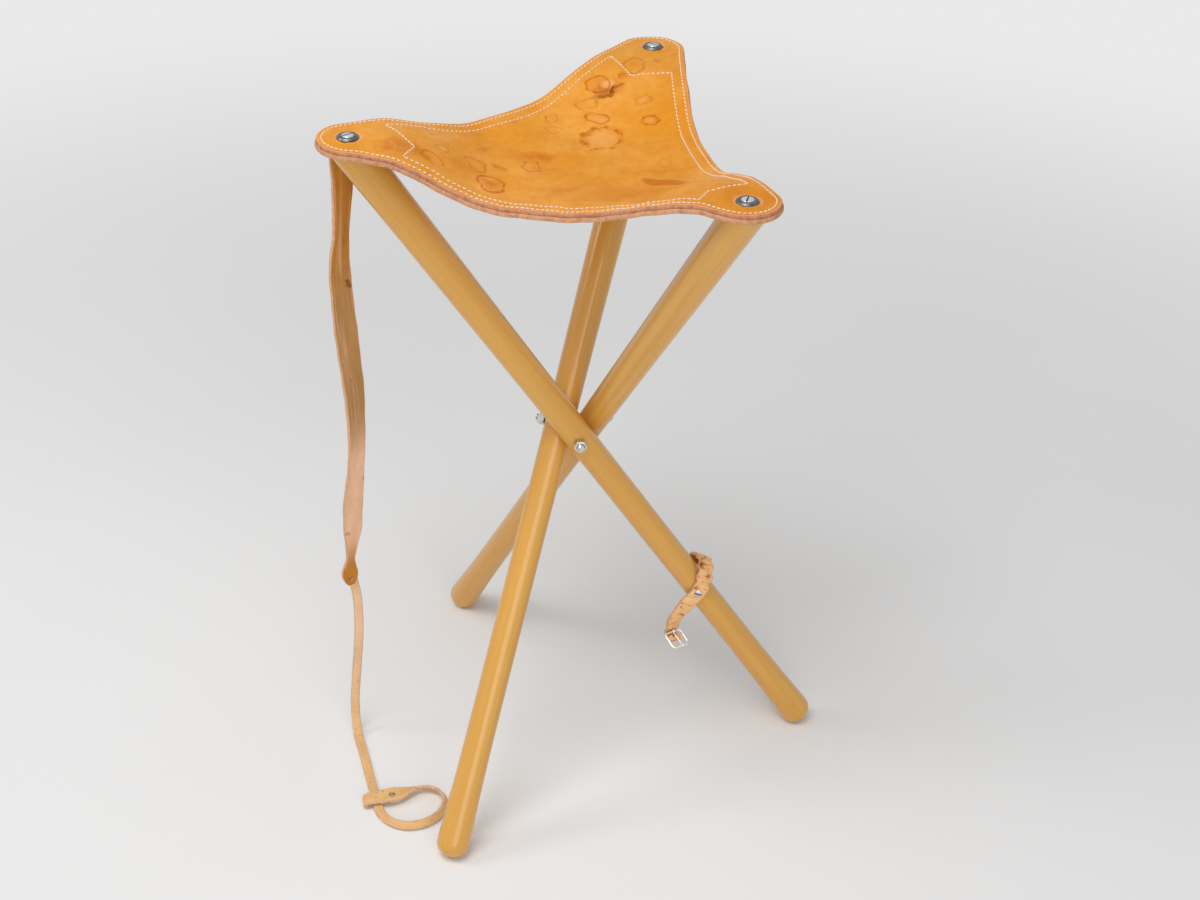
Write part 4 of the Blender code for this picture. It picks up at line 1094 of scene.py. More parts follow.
EDGE_COLUMNS = 26
LOBE_COLUMNS = 30
EDGE_OFFSETS = [d * MM for d in (0.25, 0.6, 1.2, 2.2, 3.2, 4, 4.8, 5.8, 7.5, 9.6, 11, 12, 13, 14.4, 16.6, 19)]
INNER_RINGS = 34
INNER_CROWDING = 1.45
WASHER_ROOM = 15 * MM
WASHER_RADIUS = 8.7 * MM
WASHER_SINK = 0.9 * MM
WASHER_SLOPE = 1.6 * MM
SWELL, SWELL_OUT, SWELL_WIDE = 0.3 * WASHER_SINK, 2.4 * MM, 1.2 * MM
OUTER_GROOVE, INNER_GROOVE = 0.8 * MM, 0.9 * MM
EDGE_FALL, EDGE_FALL_REACH = 0.35 * MM, 0.7 * MM
LAYER_GAP = 0.25 * MM
LINING_PROUD = 0.9 * MM
LINING_ROUND = 0.3 * MM
LINING_SHARES = np.array([0, 0.02, 0.15, 0.35, 0.55, 0.75, 0.9, 0.985, 1.0])

# Cut edge of the seat: share of the leather's depth, and millimetres that it stands out from the top face
EDGE_SWELL = ((0.2, 0.25), (0.5, 0.3), (0.8, 0.15))

# Sixths of the seat in the order that they come round its outline: corner, and before or after its tip
HALVES = [(corner, half) for corner in (LEFT, RIGHT, BACK) for half in (0, 1)]


def seat_outline():
    """Points round the seat in plan and the way out at each, sector by sector from a hollow edge's middle."""
    points, outward = [], []

    def hollow(middle, shares):
        for share in shares:
            angle = middle + math.pi + EDGE_SPAN * (1 - 2 * share)
            points.append((polar(EDGE_CENTRE, middle) + polar(EDGE_RADIUS, angle)).xy)
            outward.append(-polar(1, angle).xy)

    for sector in range(3):
        azimuth = corner_azimuth(LEFT) + THIRD * sector
        hollow(azimuth - THIRD / 2, 0.5 + 0.5 * np.arange(EDGE_COLUMNS) / EDGE_COLUMNS)
        for column in range(LOBE_COLUMNS):
            angle = azimuth + LOBE_SPAN * (2 * column / LOBE_COLUMNS - 1)
            points.append((polar(LOBE_CENTRE, azimuth) + polar(LOBE_RADIUS, angle)).xy)
            outward.append(polar(1, angle).xy)
        hollow(azimuth + THIRD / 2, 0.5 * np.arange(EDGE_COLUMNS) / EDGE_COLUMNS)
    return np.array(points), np.array(outward)


def edge_radius(azimuth, band):
    """Distance from the middle to a line that runs beside the seat's edges."""
    off_lobe = (azimuth - corner_azimuth(LEFT) + THIRD / 2) % THIRD - THIRD / 2
    to_edge = THIRD / 2 - np.abs(off_lobe)
    room = (EDGE_RADIUS + band) ** 2 - (EDGE_CENTRE * np.sin(to_edge)) ** 2
    return np.where(room > 0, EDGE_CENTRE * np.cos(to_edge) - np.sqrt(np.maximum(room, 0)), np.inf)


def chevron_radius(azimuth, back):
    """Distance from the middle to the nearest corner's chevron, moved back towards the middle."""
    nearest = np.inf
    for corner, (inwards, sideways, *slopes) in enumerate(CHEVRONS):
        off = azimuth - corner_azimuth(corner)
        farther = 0.0
        for turn, slope in zip((1, -1), slopes):
            facing = np.cos(off) - turn * slope * np.sin(off)
            reach = CORNER_RADIUS - inwards - back - turn * slope * sideways
            farther = np.maximum(farther, np.where(facing > 0.01, reach / np.maximum(facing, 0.01), np.inf))
        nearest = np.minimum(nearest, farther)
    return nearest


def seam_radius(azimuth, band, back):
    """Distance from the middle to a seam beside the seat's edges and across its corners."""
    return np.minimum(edge_radius(azimuth, band), chevron_radius(azimuth, back))


FRONT_SAG = through_rows(FRONT_EDGE_SAG, 8)


def seat_dip(x, y):
    """How far the seat sags below its corners at places in plan from its middle."""
    nearness = softness = 0
    dip = CENTRE_DIP
    for corner, (flat, edge_dip, soft) in enumerate(zip(CORNER_FLATS, OPPOSITE_EDGE_DIPS, FLAT_SOFTNESS)):
        out = polar(1, corner_azimuth(corner))
        towards = x * out.x + y * out.y
        sideways = x * out.y - y * out.x
        level = towards - sideways ** 2 / SHOULDER_RADIUS
        near = np.maximum(level / (CORNER_RADIUS - flat), 0) ** 4
        nearness = nearness + near
        softness = softness + near * soft
        dip = dip + (edge_dip - CENTRE_DIP) * np.maximum(-towards / EDGE_REACH, 0) ** 2
    raw = (3 * nearness ** 0.25 - 1) / 2
    softness = softness / np.maximum(nearness, 1e-9) + 1e-3
    rise = np.clip(1 - softness * np.logaddexp(0, (1 - raw) / softness), 0, 1)
    off_front = (np.arctan2(y, x) - corner_azimuth(LEFT) - THIRD / 2 + math.pi) % (2 * math.pi) - math.pi
    outer = np.clip((np.hypot(x, y) - SAG_STARTS) / (SAG_FULL - SAG_STARTS), 0, 1)
    front = np.interp(np.degrees(off_front), FRONT_SAG[:, 0], FRONT_SAG[:, 1]) * MM
    return dip * (1 - rise ** 2 * (2 - rise)) + front * outer ** 2 * (3 - 2 * outer)


def seat_top(x, y):
    """Height of the seat's top face, with the slight unevenness of worn leather away from the washers."""
    uneven = 0.4 * MM * (np.sin(x * 95 + 1) * np.sin(y * 120 + 0.4) + 0.6 * np.sin(x * 210 - y * 160))
    for corner in range(3):
        middle = polar(CORNER_RADIUS, corner_azimuth(corner))
        away = np.hypot(x - middle.x, y - middle.y)
        uneven = uneven * np.clip(away / WASHER_ROOM - 1, 0, 1)
    return SEAT_HEIGHT - seat_dip(x, y) + uneven


def seat_places(plan, depth):
    """Points in space under places in plan, at a depth square to the seat's top face."""
    x, y, step = plan[..., 0], plan[..., 1], 0.5 * MM
    slope_x = (seat_top(x + step, y) - seat_top(x - step, y)) / (2 * step)
    slope_y = (seat_top(x, y + step) - seat_top(x, y - step)) / (2 * step)
    normal = np.stack([-slope_x, -slope_y, np.ones_like(x)], axis=-1)
    normal /= np.linalg.norm(normal, axis=-1)[..., None]
    top = np.stack([x + CENTRE.x, y + CENTRE.y, seat_top(x, y)], axis=-1)
    return top - normal * (np.asarray(depth)[..., None] * np.ones_like(top)), normal


def split_layer(name, grid, kinds, materials, from_edge=None, poles=None):
    """Splits a layer that goes all round into six closed pieces, two for each corner.

    The grid has one row for each column round the seat, and runs over the top face, round the edge
    and back under. Poles close it in the middle, above and below; a ring has none. The shading is worked
    out on the whole layer, so that the pieces meet unseen.
    """
    columns, rings = grid.shape[:2]
    flat = grid.reshape(-1, 3)
    verts = np.vstack([flat, poles]) if poles is not None else flat
    top_pole, low_pole = len(flat), len(flat) + 1
    spans = rings - 1 if poles is not None else rings
    faces, face_kinds, face_columns = [], [], []
    for column in range(columns):
        here, there = column * rings, (column + 1) % columns * rings
        for ring in range(spans):
            beyond = (ring + 1) % rings
            faces.append((here + ring, here + beyond, there + beyond, there + ring))
            face_kinds.append(kinds[ring])
            face_columns.append(column)
        if poles is not None:
            faces += [(top_pole, here, there), (low_pole, there + rings - 1, here + rings - 1)]
            face_kinds += [kinds[0], kinds[rings - 2]]
            face_columns += [column] * 2
    whole = bpy.data.meshes.new("whole")
    whole.from_pydata(verts, [], faces)
    smooth(whole)
    whole.set_sharp_from_angle(angle=SHARP)
    normals = np.empty(3 * len(whole.loops), dtype=np.float32)
    whole.corner_normals.foreach_get("vector", normals)
    normals = normals.reshape(-1, 3)
    starts = np.array([polygon.loop_start for polygon in whole.polygons])
    face_columns = np.array(face_columns)
    per_half = columns // len(HALVES)
    pieces = []
    for count, (corner, half) in enumerate(HALVES):
        first, last = count * per_half, (count + 1) * per_half
        kept = np.flatnonzero((face_columns >= first) & (face_columns < last))
        own_faces = [faces[i] for i in kept]
        own_normals = [normals[starts[i] + k] for i in kept for k in range(len(faces[i]))]
        own_kinds = [face_kinds[i] for i in kept]
        for column, turn in ((first, 1), (last % columns, -1)):
            walls = []
            base = column * rings
            for ring in range(rings // 2 - 1):
                walls.append((base + ring, base + ring + 1, base + rings - 2 - ring, base + rings - 1 - ring))
            if poles is not None:
                walls.append((top_pole, base, base + rings - 1, low_pole))
            for wall in walls:
                wall = wall[::-turn]
                a, b, c = (verts[i] for i in wall[:3])
                normal = np.cross(b - a, c - b)
                own_faces.append(wall)
                own_normals += [normal / max(np.linalg.norm(normal), 1e-12)] * 4
                own_kinds.append(EDGE)
        used = sorted({i for face in own_faces for i in face})
        number = {old: new for new, old in enumerate(used)}
        mesh = bpy.data.meshes.new(f"{name}_{CORNERS[corner]}_{half + 1}")
        mesh.from_pydata(verts[used], [], [[number[i] for i in face] for face in own_faces])
        smooth(mesh)
        mesh.polygons.foreach_set("material_index", np.array(own_kinds, dtype=np.int32))
        mesh.normals_split_custom_set([tuple(normal) for normal in own_normals])
        for material in materials:
            mesh.materials.append(material)
        point_values(mesh, "rest_place", verts[used])
        if from_edge is not None:
            point_values(mesh, "from_edge", from_edge[used])
        pieces.append(new_object(mesh.name, mesh))
    bpy.data.meshes.remove(whole)
    return pieces


def hang_on_corner(piece):
    """Bakes the piece's placement into its mesh. The piece is tied to no body, so it stays put when the stool
    folds.
    """
    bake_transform(piece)


def seat_grid(outer_seam, inner_seam, groove):
    """Points over the seat's top, round its edge and back under, and their distances from the edge."""
    outline, outward = seat_outline()
    rings = [outline - outward * d for d in EDGE_OFFSETS]
    inner = rings[-1]
    shares = (np.arange(1, INNER_RINGS) / INNER_RINGS) ** INNER_CROWDING
    plan = np.stack(rings + [inner * (1 - share) for share in shares], axis=1)[:, ::-1]
    reach = np.hypot(inner[:, 0], inner[:, 1])
    distance = np.stack([np.full(len(outline), d) for d in EDGE_OFFSETS]
                        + [EDGE_OFFSETS[-1] + reach * share for share in shares], axis=1)[:, ::-1]
    azimuth = np.arctan2(plan[..., 1], plan[..., 0])
    beside = edge_radius(azimuth, inner_seam) < chevron_radius(azimuth, 0)
    sunk = groove * np.exp(-((distance - outer_seam) / OUTER_GROOVE) ** 2)
    sunk += groove * np.exp(-((distance - inner_seam) / INNER_GROOVE) ** 2) * beside
    sunk += EDGE_FALL * np.exp(-(distance / EDGE_FALL_REACH))
    for corner in range(3):
        middle = polar(CORNER_RADIUS, corner_azimuth(corner))
        away = np.hypot(plan[..., 0] - middle.x, plan[..., 1] - middle.y)
        sunk += WASHER_SINK * np.clip((WASHER_RADIUS + WASHER_SLOPE - away) / WASHER_SLOPE, 0, 1)
        sunk -= SWELL * np.exp(-((away - WASHER_RADIUS - SWELL_OUT) / SWELL_WIDE) ** 2)
    top, _ = seat_places(plan, sunk)
    under, _ = seat_places(plan, LEATHER)
    rim = []
    for share, out in EDGE_SWELL:
        places, _ = seat_places(outline - outward * (EDGE_OFFSETS[0] - out * MM), LEATHER * share)
        rim.append(places)
    grid = np.concatenate([top, np.stack(rim, axis=1), under[:, ::-1]], axis=1)
    from_edge = np.concatenate([distance, np.zeros((len(outline), len(rim))), distance[:, ::-1]], axis=1)
    return grid, from_edge, plan.shape[1]


class STOOL_OT_seat(bpy.types.Operator):
    """Sagging seat leather and the lining sewn under its edges and corners, each in six parts."""

    bl_idname = "stool.seat"
    bl_label = "Make the seat"

    def execute(self, context):
        colours, sizes = context.scene.stool_colours, context.scene.stool_sizes
        flesh = flesh_finish(colours)
        materials = [seat_finish(colours), flesh,
                     cut_edge_finish("seat_edge", colours.cut_edge, "rest_place", 0.6)]
        grid, from_edge, rings = seat_grid(sizes.outer_seam, sizes.inner_seam, sizes.seam_groove)
        kinds = [FACE] * (rings - 1) + [EDGE] * (len(EDGE_SWELL) + 1) + [BACK_FACE] * (rings - 1)
        poles = np.vstack([seat_places(np.zeros(2), depth)[0] for depth in (0.0, LEATHER)])
        from_edge = np.concatenate([from_edge.ravel(), [EDGE_REACH, EDGE_REACH]])
        leather = split_layer("seat_hide", grid, kinds, materials, from_edge, poles)
        edge = cut_edge_finish("seat_lining_edge", colours.lining_edge, "rest_place", 0.5)
        lining = self.make_lining([flesh, flesh, edge], sizes.inner_seam)
        for top, under, (corner, half) in zip(leather, lining, HALVES):
            for piece, node in ((top, "seat_leather"), (under, "seat_lining")):
                hang_on_corner(piece)
                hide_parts(node)
        return {"FINISHED"}

    def make_lining(self, materials, inner_seam):
        outline, outward = seat_outline()
        azimuth = np.arctan2(outline[:, 1], outline[:, 0])
        reach = np.hypot(outline[:, 0], outline[:, 1])
        inner = seam_radius(azimuth, LINING_BAND, LINING_BAND - inner_seam) / reach
        plan = np.stack([outline * (inner + (1 - inner) * share)[:, None] for share in LINING_SHARES], axis=1)
        plan[:, -1] += outward * (LINING_PROUD - LINING_ROUND)
        upper = LEATHER + LAYER_GAP
        middle = (upper + SEAT_DEPTH) / 2
        over, _ = seat_places(plan, upper)
        under, _ = seat_places(plan, SEAT_DEPTH)
        rim = [seat_places(outline + outward * LINING_PROUD, depth)[0]
               for depth in (0.7 * upper + 0.3 * SEAT_DEPTH, 0.3 * upper + 0.7 * SEAT_DEPTH)]
        inside, _ = seat_places(plan[:, 0], middle)
        grid = np.concatenate([over, np.stack(rim, axis=1), under[:, ::-1]], axis=1)
        grid[:, 0] = 0.5 * (grid[:, 0] + inside)
        flat = [BACK_FACE] * (len(LINING_SHARES) - 2)
        return split_layer("seat_lining_leather", grid, flat + [EDGE] * 5 + flat + [EDGE], materials)


# Stitching

STITCH_SIDES = 6
STITCH_SLANT = math.radians(9)
STITCH_PROUD = 0.3 * MM
SEAM_STEPS = 361


def stitch_shape(length, thick):
    """Points and faces of one stitch along X, lying half in the leather."""
    points, faces = [], []
    stations = [(-0.5, 0.28), (-0.42, 0.75), (-0.2, 1), (0.2, 1), (0.42, 0.75), (0.5, 0.28)]
    for along, size in stations:
        for side in range(STITCH_SIDES):
            angle = 2 * math.pi * side / STITCH_SIDES
            radius = 0.5 * thick * size
            points.append((along * length, radius * math.cos(angle), radius * math.sin(angle)))
    for ring in range(len(stations) - 1):
        for side in range(STITCH_SIDES):
            beyond = (side + 1) % STITCH_SIDES
            a, b = ring * STITCH_SIDES, (ring + 1) * STITCH_SIDES
            faces.append((a + side, a + beyond, b + beyond, b + side))
    last = (len(stations) - 1) * STITCH_SIDES
    faces += [tuple(range(STITCH_SIDES))[::-1], tuple(range(last, last + STITCH_SIDES))]
    return np.array(points), faces


def evenly(path, pitch):
    """Places at equal steps along a line in plan, with the direction at each."""
    steps = np.linalg.norm(np.diff(path, axis=0), axis=1)
    run = np.concatenate([[0], np.cumsum(steps)])
    count = max(round(run[-1] / pitch), 1)
    wanted = (np.arange(count) + 0.5) * run[-1] / count

    def at(distances):
        return np.column_stack([np.interp(distances, run, path[:, axis]) for axis in (0, 1)])

    along = at(wanted + 0.3 * pitch) - at(wanted - 0.3 * pitch)
    return at(wanted), along / np.linalg.norm(along, axis=1)[:, None]


class STOOL_OT_stitching(bpy.types.Operator):
    """Two seams of pale thread round the seat, the inner one crossing each corner as a chevron."""

    bl_idname = "stool.stitching"
    bl_label = "Sew the seat"

    def execute(self, context):
        colours, sizes = context.scene.stool_colours, context.scene.stool_sizes
        thread = thread_finish(colours)
        outline, outward = seat_outline()
        per_half = len(outline) // len(HALVES)
        shape, shape_faces = stitch_shape(sizes.stitch_length, sizes.thread_thick)
        for count, (corner, half) in enumerate(HALVES):
            columns = np.arange(count * per_half, (count + 1) * per_half + 1) % len(outline)
            outer = outline[columns] - outward[columns] * sizes.outer_seam
            azimuth = corner_azimuth(LEFT) + THIRD / 2 * (count - 1 + np.linspace(0, 1, SEAM_STEPS))
            radius = seam_radius(azimuth, sizes.inner_seam, 0)
            inner = np.column_stack([radius * np.cos(azimuth), radius * np.sin(azimuth)])
            points, faces = [], []
            for path in (outer, inner):
                places, along = evenly(path, sizes.stitch_pitch)
                for depth, turn in ((sizes.seam_groove - STITCH_PROUD, 1), (SEAT_DEPTH, -1)):
                    self.sew(places, along, depth, turn, shape, shape_faces, points, faces)
            part = f"{CORNERS[corner]}_{half + 1}"
            mesh = bpy.data.meshes.new(f"seat_stitches_{part}")
            mesh.from_pydata(np.vstack(points), [], faces)
            smooth(mesh)
            mesh.materials.append(thread)
            point_values(mesh, "rest_place", vertex_places(mesh))
            piece = new_object(mesh.name, mesh)
            hang_on_corner(piece)
            self.declare(part, piece)
        return {"FINISHED"}

    def declare(self, part, stitches):
        """Does nothing; the sixths of the leather, lining and thread are not joined or declared as pieces."""

    def sew(self, places, along, depth, turn, shape, shape_faces, points, faces):
        centres, normals = seat_places(places, np.full(len(places), depth))
        for centre, normal, direction in zip(centres, normals, along):
            x = np.array([direction[0], direction[1], 0])
            x = x - normal * np.dot(x, normal)
            x /= np.linalg.norm(x)
            y = np.cross(normal, x)
            slant = turn * STITCH_SLANT
            x, y = x * math.cos(slant) + y * math.sin(slant), y * math.cos(slant) - x * math.sin(slant)
            base = sum(len(block) for block in points)
            points.append(centre + shape @ np.stack([x, y, normal]))
            faces += [tuple(base + i for i in face) for face in shape_faces]


# Corner screws and cup washers

WASHER_HEIGHT = 2.2 * MM
WASHER_FLAT = 0.6 * MM
SCREW_HEAD_RADIUS = 4.9 * MM
SCREW_RADIUS = 2.25 * MM
WASHER_SEAT = SEAT_HEIGHT + CLEARANCE
HEAD_SINK = 0.6 * MM
HEAD_TOP = WASHER_SEAT + WASHER_HEIGHT - WASHER_FLAT - HEAD_SINK
HEAD_DOME = 0.9 * MM
HEAD_DEPTH = 1.5 * MM
SCREW_TIP = LEG_TOP_HEIGHT - 20 * MM
WASHER_SIDES, SCREW_SIDES = 48, 40
SLOT_FINISH = 1

# Degrees that the slot of each corner's screw is turned
SLOT_TURNS = (25, 75, 125)


def washer_profile():
    """Pressed cup washer: rolled outer rim, swelling up to its lip, and the cup for the screw's head."""
    seat = WASHER_SEAT - CLEARANCE
    points = [(6.1, 1.55), (6.8, 1.45), (7.5, 1.1), (8.0, 0.55), (8.4, 0.1), (8.7, -0.2), (8.7, -0.55),
              (8.4, -0.8), (2.6, -0.8), (2.6, -0.1), (3.6, 0.35), (4.4, 0.85), (4.9, 1.2), (5.2, 1.45),
              (5.6, 1.57)]
    return [(radius * MM, seat + height * MM) for radius, height in points]


def screw_profile():
    """Raised countersunk head over a plain shank with a point."""
    dome = [(SCREW_HEAD_RADIUS * math.sin(a), HEAD_TOP + HEAD_DOME * math.cos(a))
            for a in np.radians((0, 18, 36, 54, 72, 90))]
    dome[0] = (0, HEAD_TOP + HEAD_DOME)
    return dome + [(SCREW_RADIUS, HEAD_TOP - HEAD_DEPTH), (SCREW_RADIUS, SCREW_TIP + 2 * SCREW_RADIUS),
                   (0, SCREW_TIP)]


def cut_slot(screw, height, turn, length, width, depth):
    """Saws the slot into a screw's head, about the given height."""
    bm = bmesh.new()
    place = Matrix.Translation((0, 0, height)) @ Matrix.Rotation(math.radians(turn), 4, "Z")
    bmesh.ops.create_cube(bm, size=1, matrix=place @ Matrix.Diagonal((length, width, depth, 1)))
    cut_away(screw, bm, SLOT_FINISH)


class STOOL_OT_screws(bpy.types.Operator):
    """Cup washer and slotted wood screw at each seat corner."""

    bl_idname = "stool.screws"
    bl_label = "Make the corner screws"

    def execute(self, context):
        colours, sizes = context.scene.stool_colours, context.scene.stool_sizes
        steel = metal_finish("washer_steel", colours.steel, 0.26, 0.46, 0.6)
        bright = metal_finish("screw_steel", colours.zinc, 0.2, 0.4, 0.5)
        # Near-black finish for the cut faces of the corner screws' slots
        slot_dark = metal_finish("screw_slot", colours.slot, 0.5, 0.7, 0.5)
        for corner, name in enumerate(CORNERS):
            axes = corner_matrix(corner)
            bm = bmesh.new()
            lathe(bm, washer_profile(), WASHER_SIDES, ring=True)
            washer = as_piece(f"pressed_washer_{name}", bm, [steel], axes)
            bm = bmesh.new()
            lathe(bm, screw_profile(), SCREW_SIDES)
            screw = as_piece(f"slotted_screw_{name}", bm, [bright, slot_dark], axes)
            cut_slot(screw, HEAD_TOP + HEAD_DOME, SLOT_TURNS[corner], 3 * SCREW_HEAD_RADIUS, sizes.slot_width,
                     2 * HEAD_DOME)
            for piece, node in ((washer, f"cup_washer_{name}"), (screw, f"corner_screw_{name}")):
                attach(piece, f"{name}_leg")
                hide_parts(node)
        return {"FINISHED"}


# Buckle strap, in the left leg's axes: it is fixed by one screw, one end hangs and hooks round the
# buckle's bar, and the other curls loosely round behind the leg

NAIL_PLACE = -190 * MM
NAIL_HEAD_RADIUS = 3.6 * MM
NAIL_HEAD_HEIGHT = 1.8 * MM
NAIL_RADIUS = 1.6 * MM
NAIL_SHANK = 10 * MM
NAIL_LENGTH = 14 * MM
NAIL_SLOT_TURN = 35
NAIL_SIDES = 36
NAIL_LEG_RADIUS = leg_radius(NAIL_PLACE)
NAIL_AXIS = Vector((0, 0, NAIL_PLACE))
NAIL_POINT = NAIL_AXIS + Vector((NAIL_LEG_RADIUS + CLEARANCE + BUCKLE_STRAP_THICK / 2, 0, 0))
UP_STRAP = Vector((0, math.cos(BUCKLE_STRAP_SLANT), math.sin(BUCKLE_STRAP_SLANT)))
STRAP_SIDE = Vector((0, math.sin(BUCKLE_STRAP_SLANT), -math.cos(BUCKLE_STRAP_SLANT)))
BAR_ALONG = Vector((-0.54, 0.605, -0.585)).normalized()
FRAME_HINT = Vector((0.79, 0.098, -0.606))
FRAME_DOWN = (FRAME_HINT - BAR_ALONG * FRAME_HINT.dot(BAR_ALONG)).normalized()
FRAME_UP = FRAME_DOWN.cross(BAR_ALONG)
BAR_POINT = NAIL_POINT + Vector((-5.5, -42.1, -26.5)) * MM
WIRE_RADIUS, WIRE_SIDES = 1.1 * MM, 16
PRONG_RADIUS, PRONG_SIDES = 0.8 * MM, 12
HOOK_RADIUS = WIRE_RADIUS + CLEARANCE + BUCKLE_STRAP_THICK / 2
HOOK_LEAD = 4 * MM
HOOK_TAIL = 8 * MM
SLOT_END = 3 * MM
EYE_RADIUS = WIRE_RADIUS + CLEARANCE + PRONG_RADIUS

# Hanging end: millimetres from its screw. Curled end: degrees round the leg, then millimetres off the leg
# and to the strap's side
HANG_ROUTE = [(-0.3, -10.8, -3.5), (-1, -22.5, -8.3), (-2.6, -33, -14.2)]
CURL_ROUTE = [(28, 3, 0), (51, 6.3, -1), (71, 10, -2), (90, 13, -3.5), (107, 13.4, -5), (123, 11.8, -6.5),
              (141, 8.2, -8), (162, 4.8, -9), (190, 3.5, -9.5)]


def bar_matrix():
    """Buckle axes: X along its bar, Y from the bar across the frame, Z out of its face."""
    turn = Matrix((-BAR_ALONG, FRAME_DOWN, FRAME_UP)).transposed().to_4x4()
    return leg_matrix(LEFT) @ Matrix.Translation(BAR_POINT) @ turn


def buckle_strap_rows():
    diagonal = (FRAME_DOWN + FRAME_UP) / math.sqrt(2)
    hook = [FRAME_UP * HOOK_LEAD - FRAME_DOWN * HOOK_RADIUS, -FRAME_DOWN * HOOK_RADIUS,
            -diagonal * HOOK_RADIUS, -FRAME_UP * HOOK_RADIUS,
            FRAME_DOWN * HOOK_TAIL / 2 - FRAME_UP * HOOK_RADIUS,
            FRAME_DOWN * HOOK_TAIL - FRAME_UP * HOOK_RADIUS]
    rows = [(BAR_POINT + step, BAR_ALONG) for step in reversed(hook)]
    for count, offset in enumerate(reversed(HANG_ROUTE)):
        side = BAR_ALONG.lerp(STRAP_SIDE, (count + 1) / len(HANG_ROUTE))
        rows.append((NAIL_POINT + Vector(offset) * MM, side))
    rows.append((NAIL_POINT, STRAP_SIDE))
    for degrees, stand_off, drift in CURL_ROUTE:
        angle = math.radians(degrees)
        outward = Vector((math.cos(angle), 0, 0)) + UP_STRAP * math.sin(angle)
        place = NAIL_AXIS + outward * (NAIL_LEG_RADIUS + stand_off * MM) + STRAP_SIDE * drift * MM
        rows.append((place, STRAP_SIDE))
    axes = leg_matrix(LEFT)
    turn = axes.to_3x3()
    return [(*(axes @ point), *(turn @ side), BUCKLE_STRAP_WIDTH) for point, side in rows]


class STOOL_OT_buckle_strap(bpy.types.Operator):
    """Dry buckle strap on the left leg, with the round-headed screw that holds it."""

    bl_idname = "stool.buckle_strap"
    bl_label = "Make the buckle strap"

    def execute(self, context):
        colours, sizes = context.scene.stool_colours, context.scene.stool_sizes
        stations = strap_stations(buckle_strap_rows())
        finishes = [strap_finish("buckle_strap_inside", [(0, colours.strap_golden)], colours.flesh,
                                 ((0, 0.4), (0.1, 0.6))),
                    strap_finish("buckle_strap_outside", [(0, colours.buckle_strap)], colours.strap_lit_and_worn,
                                 ((0.05, 0.85), (0.085, 1.0)), (230, 75, 75), 0.53, (0.42, 0.2, 0.06)),
                    cut_edge_finish("buckle_strap_edge", colours.strap_edge, "strap_place", 0.4)]
        strap = make_strap("buckle_strap_leather", stations, BUCKLE_STRAP_THICK, finishes,
                           crumple=0.8 * MM, crumpled=(62 * MM, 125 * MM))
        bm = bmesh.new()
        room = EYE_RADIUS + PRONG_RADIUS + CLEARANCE
        size = (2 * (PRONG_RADIUS + CLEARANCE), HOOK_TAIL - SLOT_END + room, 2 * room)
        place = bar_matrix() @ Matrix.Translation((0, (HOOK_TAIL - SLOT_END - room) / 2, 0))
        bmesh.ops.create_cube(bm, size=1, matrix=place @ Matrix.Diagonal((*size, 1)))
        cut_away(strap, bm, EDGE)
        mark_strap(strap, stations)
        nail = self.make_nail(colours, sizes.slot_width)
        for piece, node, slot in ((strap, "buckle_strap", "strap_leather"),
                                  (nail, "buckle_strap_nail", "washer_steel")):
            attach(piece, "left_leg")
            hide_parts(node)
        return {"FINISHED"}

    def make_nail(self, colours, slot_width):
        steel = metal_finish("nail_steel", colours.zinc, 0.24, 0.42, 0.5)
        # Near-black finish for the cut faces of the nail's slot
        slot_dark = metal_finish("nail_slot", colours.slot, 0.5, 0.7, 0.5)
        seat = NAIL_LEG_RADIUS + CLEARANCE + BUCKLE_STRAP_THICK
        top = seat + NAIL_HEAD_HEIGHT
        profile = [(0, top)]
        profile += [(NAIL_HEAD_RADIUS * math.sin(a), seat + NAIL_HEAD_HEIGHT * (0.25 + 0.75 * math.cos(a)))
                    for a in np.radians((18, 36, 54, 72, 90))]
        profile += [(NAIL_HEAD_RADIUS, seat), (NAIL_RADIUS, seat), (NAIL_RADIUS, seat - NAIL_SHANK),
                    (0, seat - NAIL_LENGTH)]
        bm = bmesh.new()
        lathe(bm, profile, NAIL_SIDES)
        axes = leg_matrix(LEFT) @ Matrix.Translation(NAIL_AXIS) @ ALONG_ARM
        nail = as_piece("round_headed_screw", bm, [steel, slot_dark], axes)
        cut_slot(nail, top, NAIL_SLOT_TURN, 3 * NAIL_HEAD_RADIUS, slot_width, NAIL_HEAD_HEIGHT)
        return nail


# Buckle

FRAME_HALF = BUCKLE_STRAP_WIDTH / 2 + 1 * MM + WIRE_RADIUS
BUCKLE_LENGTH = 15.5 * MM
BUCKLE_CORNER = 3 * MM
PRONG_REACH = BUCKLE_LENGTH + WIRE_RADIUS + 1 * MM
PRONG_RISE = EYE_RADIUS * (PRONG_REACH - EYE_RADIUS) / (BUCKLE_LENGTH - EYE_RADIUS)


def frame_points():
    """Middle of the buckle's wire: a rectangle with rounded corners, its bar on the X axis."""
    points = []
    for x, y, start in ((1, 0, -90), (1, 1, 0), (-1, 1, 90), (-1, 0, 180)):
        middle = Vector((x * (FRAME_HALF - BUCKLE_CORNER),
                         BUCKLE_LENGTH - BUCKLE_CORNER if y else BUCKLE_CORNER, 0))
        for step in range(9):
            points.append(middle + polar(BUCKLE_CORNER, math.radians(start + 90 * step / 8)))
    return points


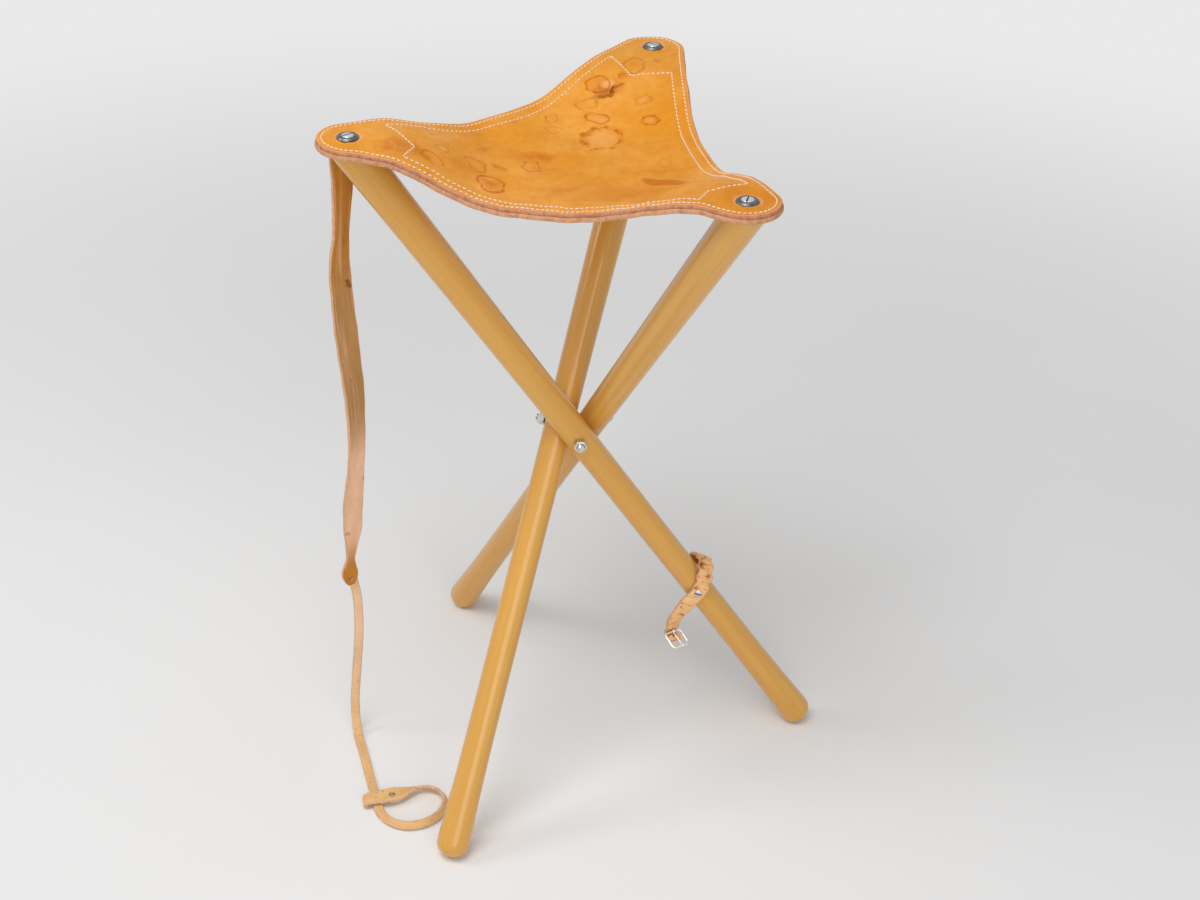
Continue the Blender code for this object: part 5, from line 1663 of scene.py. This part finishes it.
class STOOL_OT_buckle(bpy.types.Operator):
    """Bent wire buckle and the prong that turns on its bar."""

    bl_idname = "stool.buckle"
    bl_label = "Make the buckle"

    def execute(self, context):
        nickel = metal_finish("buckle_nickel", context.scene.stool_colours.nickel, 0.3, 0.48, 0.15)
        bm = bmesh.new()
        wire(bm, frame_points(), WIRE_RADIUS, WIRE_SIDES, closed=True)
        buckle = as_piece("bent_wire_buckle", bm, [nickel], bar_matrix())
        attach(buckle, "buckle")
        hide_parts("buckle_frame")
        eye = [(0, EYE_RADIUS * math.cos(a), EYE_RADIUS * math.sin(a))
               for a in np.radians(np.arange(28, 340, 18))]
        arm = [(0, EYE_RADIUS + 0.6 * MM, -0.1 * MM), (0, 2 * EYE_RADIUS, 0.28 * EYE_RADIUS),
               (0, BUCKLE_LENGTH, EYE_RADIUS), (0, PRONG_REACH - PRONG_RADIUS, PRONG_RISE)]
        bm = bmesh.new()
        wire(bm, through_rows(eye + arm, 3), PRONG_RADIUS, PRONG_SIDES, closed=False)
        prong = as_piece("bent_wire_prong", bm, [nickel], bar_matrix())
        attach(prong, "prong")
        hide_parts("buckle_prong")
        return {"FINISHED"}


MAKERS = (STOOL_OT_stage, STOOL_OT_carry_strap, STOOL_OT_thong, STOOL_OT_legs, STOOL_OT_bolt, STOOL_OT_seat,
          STOOL_OT_stitching, STOOL_OT_screws, STOOL_OT_buckle_strap, STOOL_OT_buckle)


class STOOL_PT_panel(bpy.types.Panel):
    """Makers of the stool's pieces, with its sizes and colours."""

    bl_idname = "STOOL_PT_panel"
    bl_label = "Folding stool"
    bl_space_type = "VIEW_3D"
    bl_region_type = "UI"
    bl_category = "Stool"

    def draw(self, context):
        for maker in MAKERS:
            self.layout.operator(maker.bl_idname)
        for settings in (context.scene.stool_sizes, context.scene.stool_colours):
            for name in settings.__annotations__:
                self.layout.prop(settings, name)


CLASSES = (StoolColours, StoolSizes, *MAKERS, STOOL_PT_panel)


def register():
    for item in CLASSES:
        bpy.utils.register_class(item)
    bpy.types.Scene.stool_colours = PointerProperty(type=StoolColours)
    bpy.types.Scene.stool_sizes = PointerProperty(type=StoolSizes)


def unregister():
    del bpy.types.Scene.stool_sizes
    del bpy.types.Scene.stool_colours
    for item in reversed(CLASSES):
        bpy.utils.unregister_class(item)


def main():
    register()
    bpy.ops.stool.stage()
    bpy.ops.stool.carry_strap()
    bpy.ops.stool.thong()
    bpy.ops.stool.legs()
    bpy.ops.stool.bolt()
    bpy.ops.stool.seat()
    bpy.ops.stool.stitching()
    bpy.ops.stool.screws()
    bpy.ops.stool.buckle_strap()
    bpy.ops.stool.buckle()


if __name__ == "__main__":
    main()
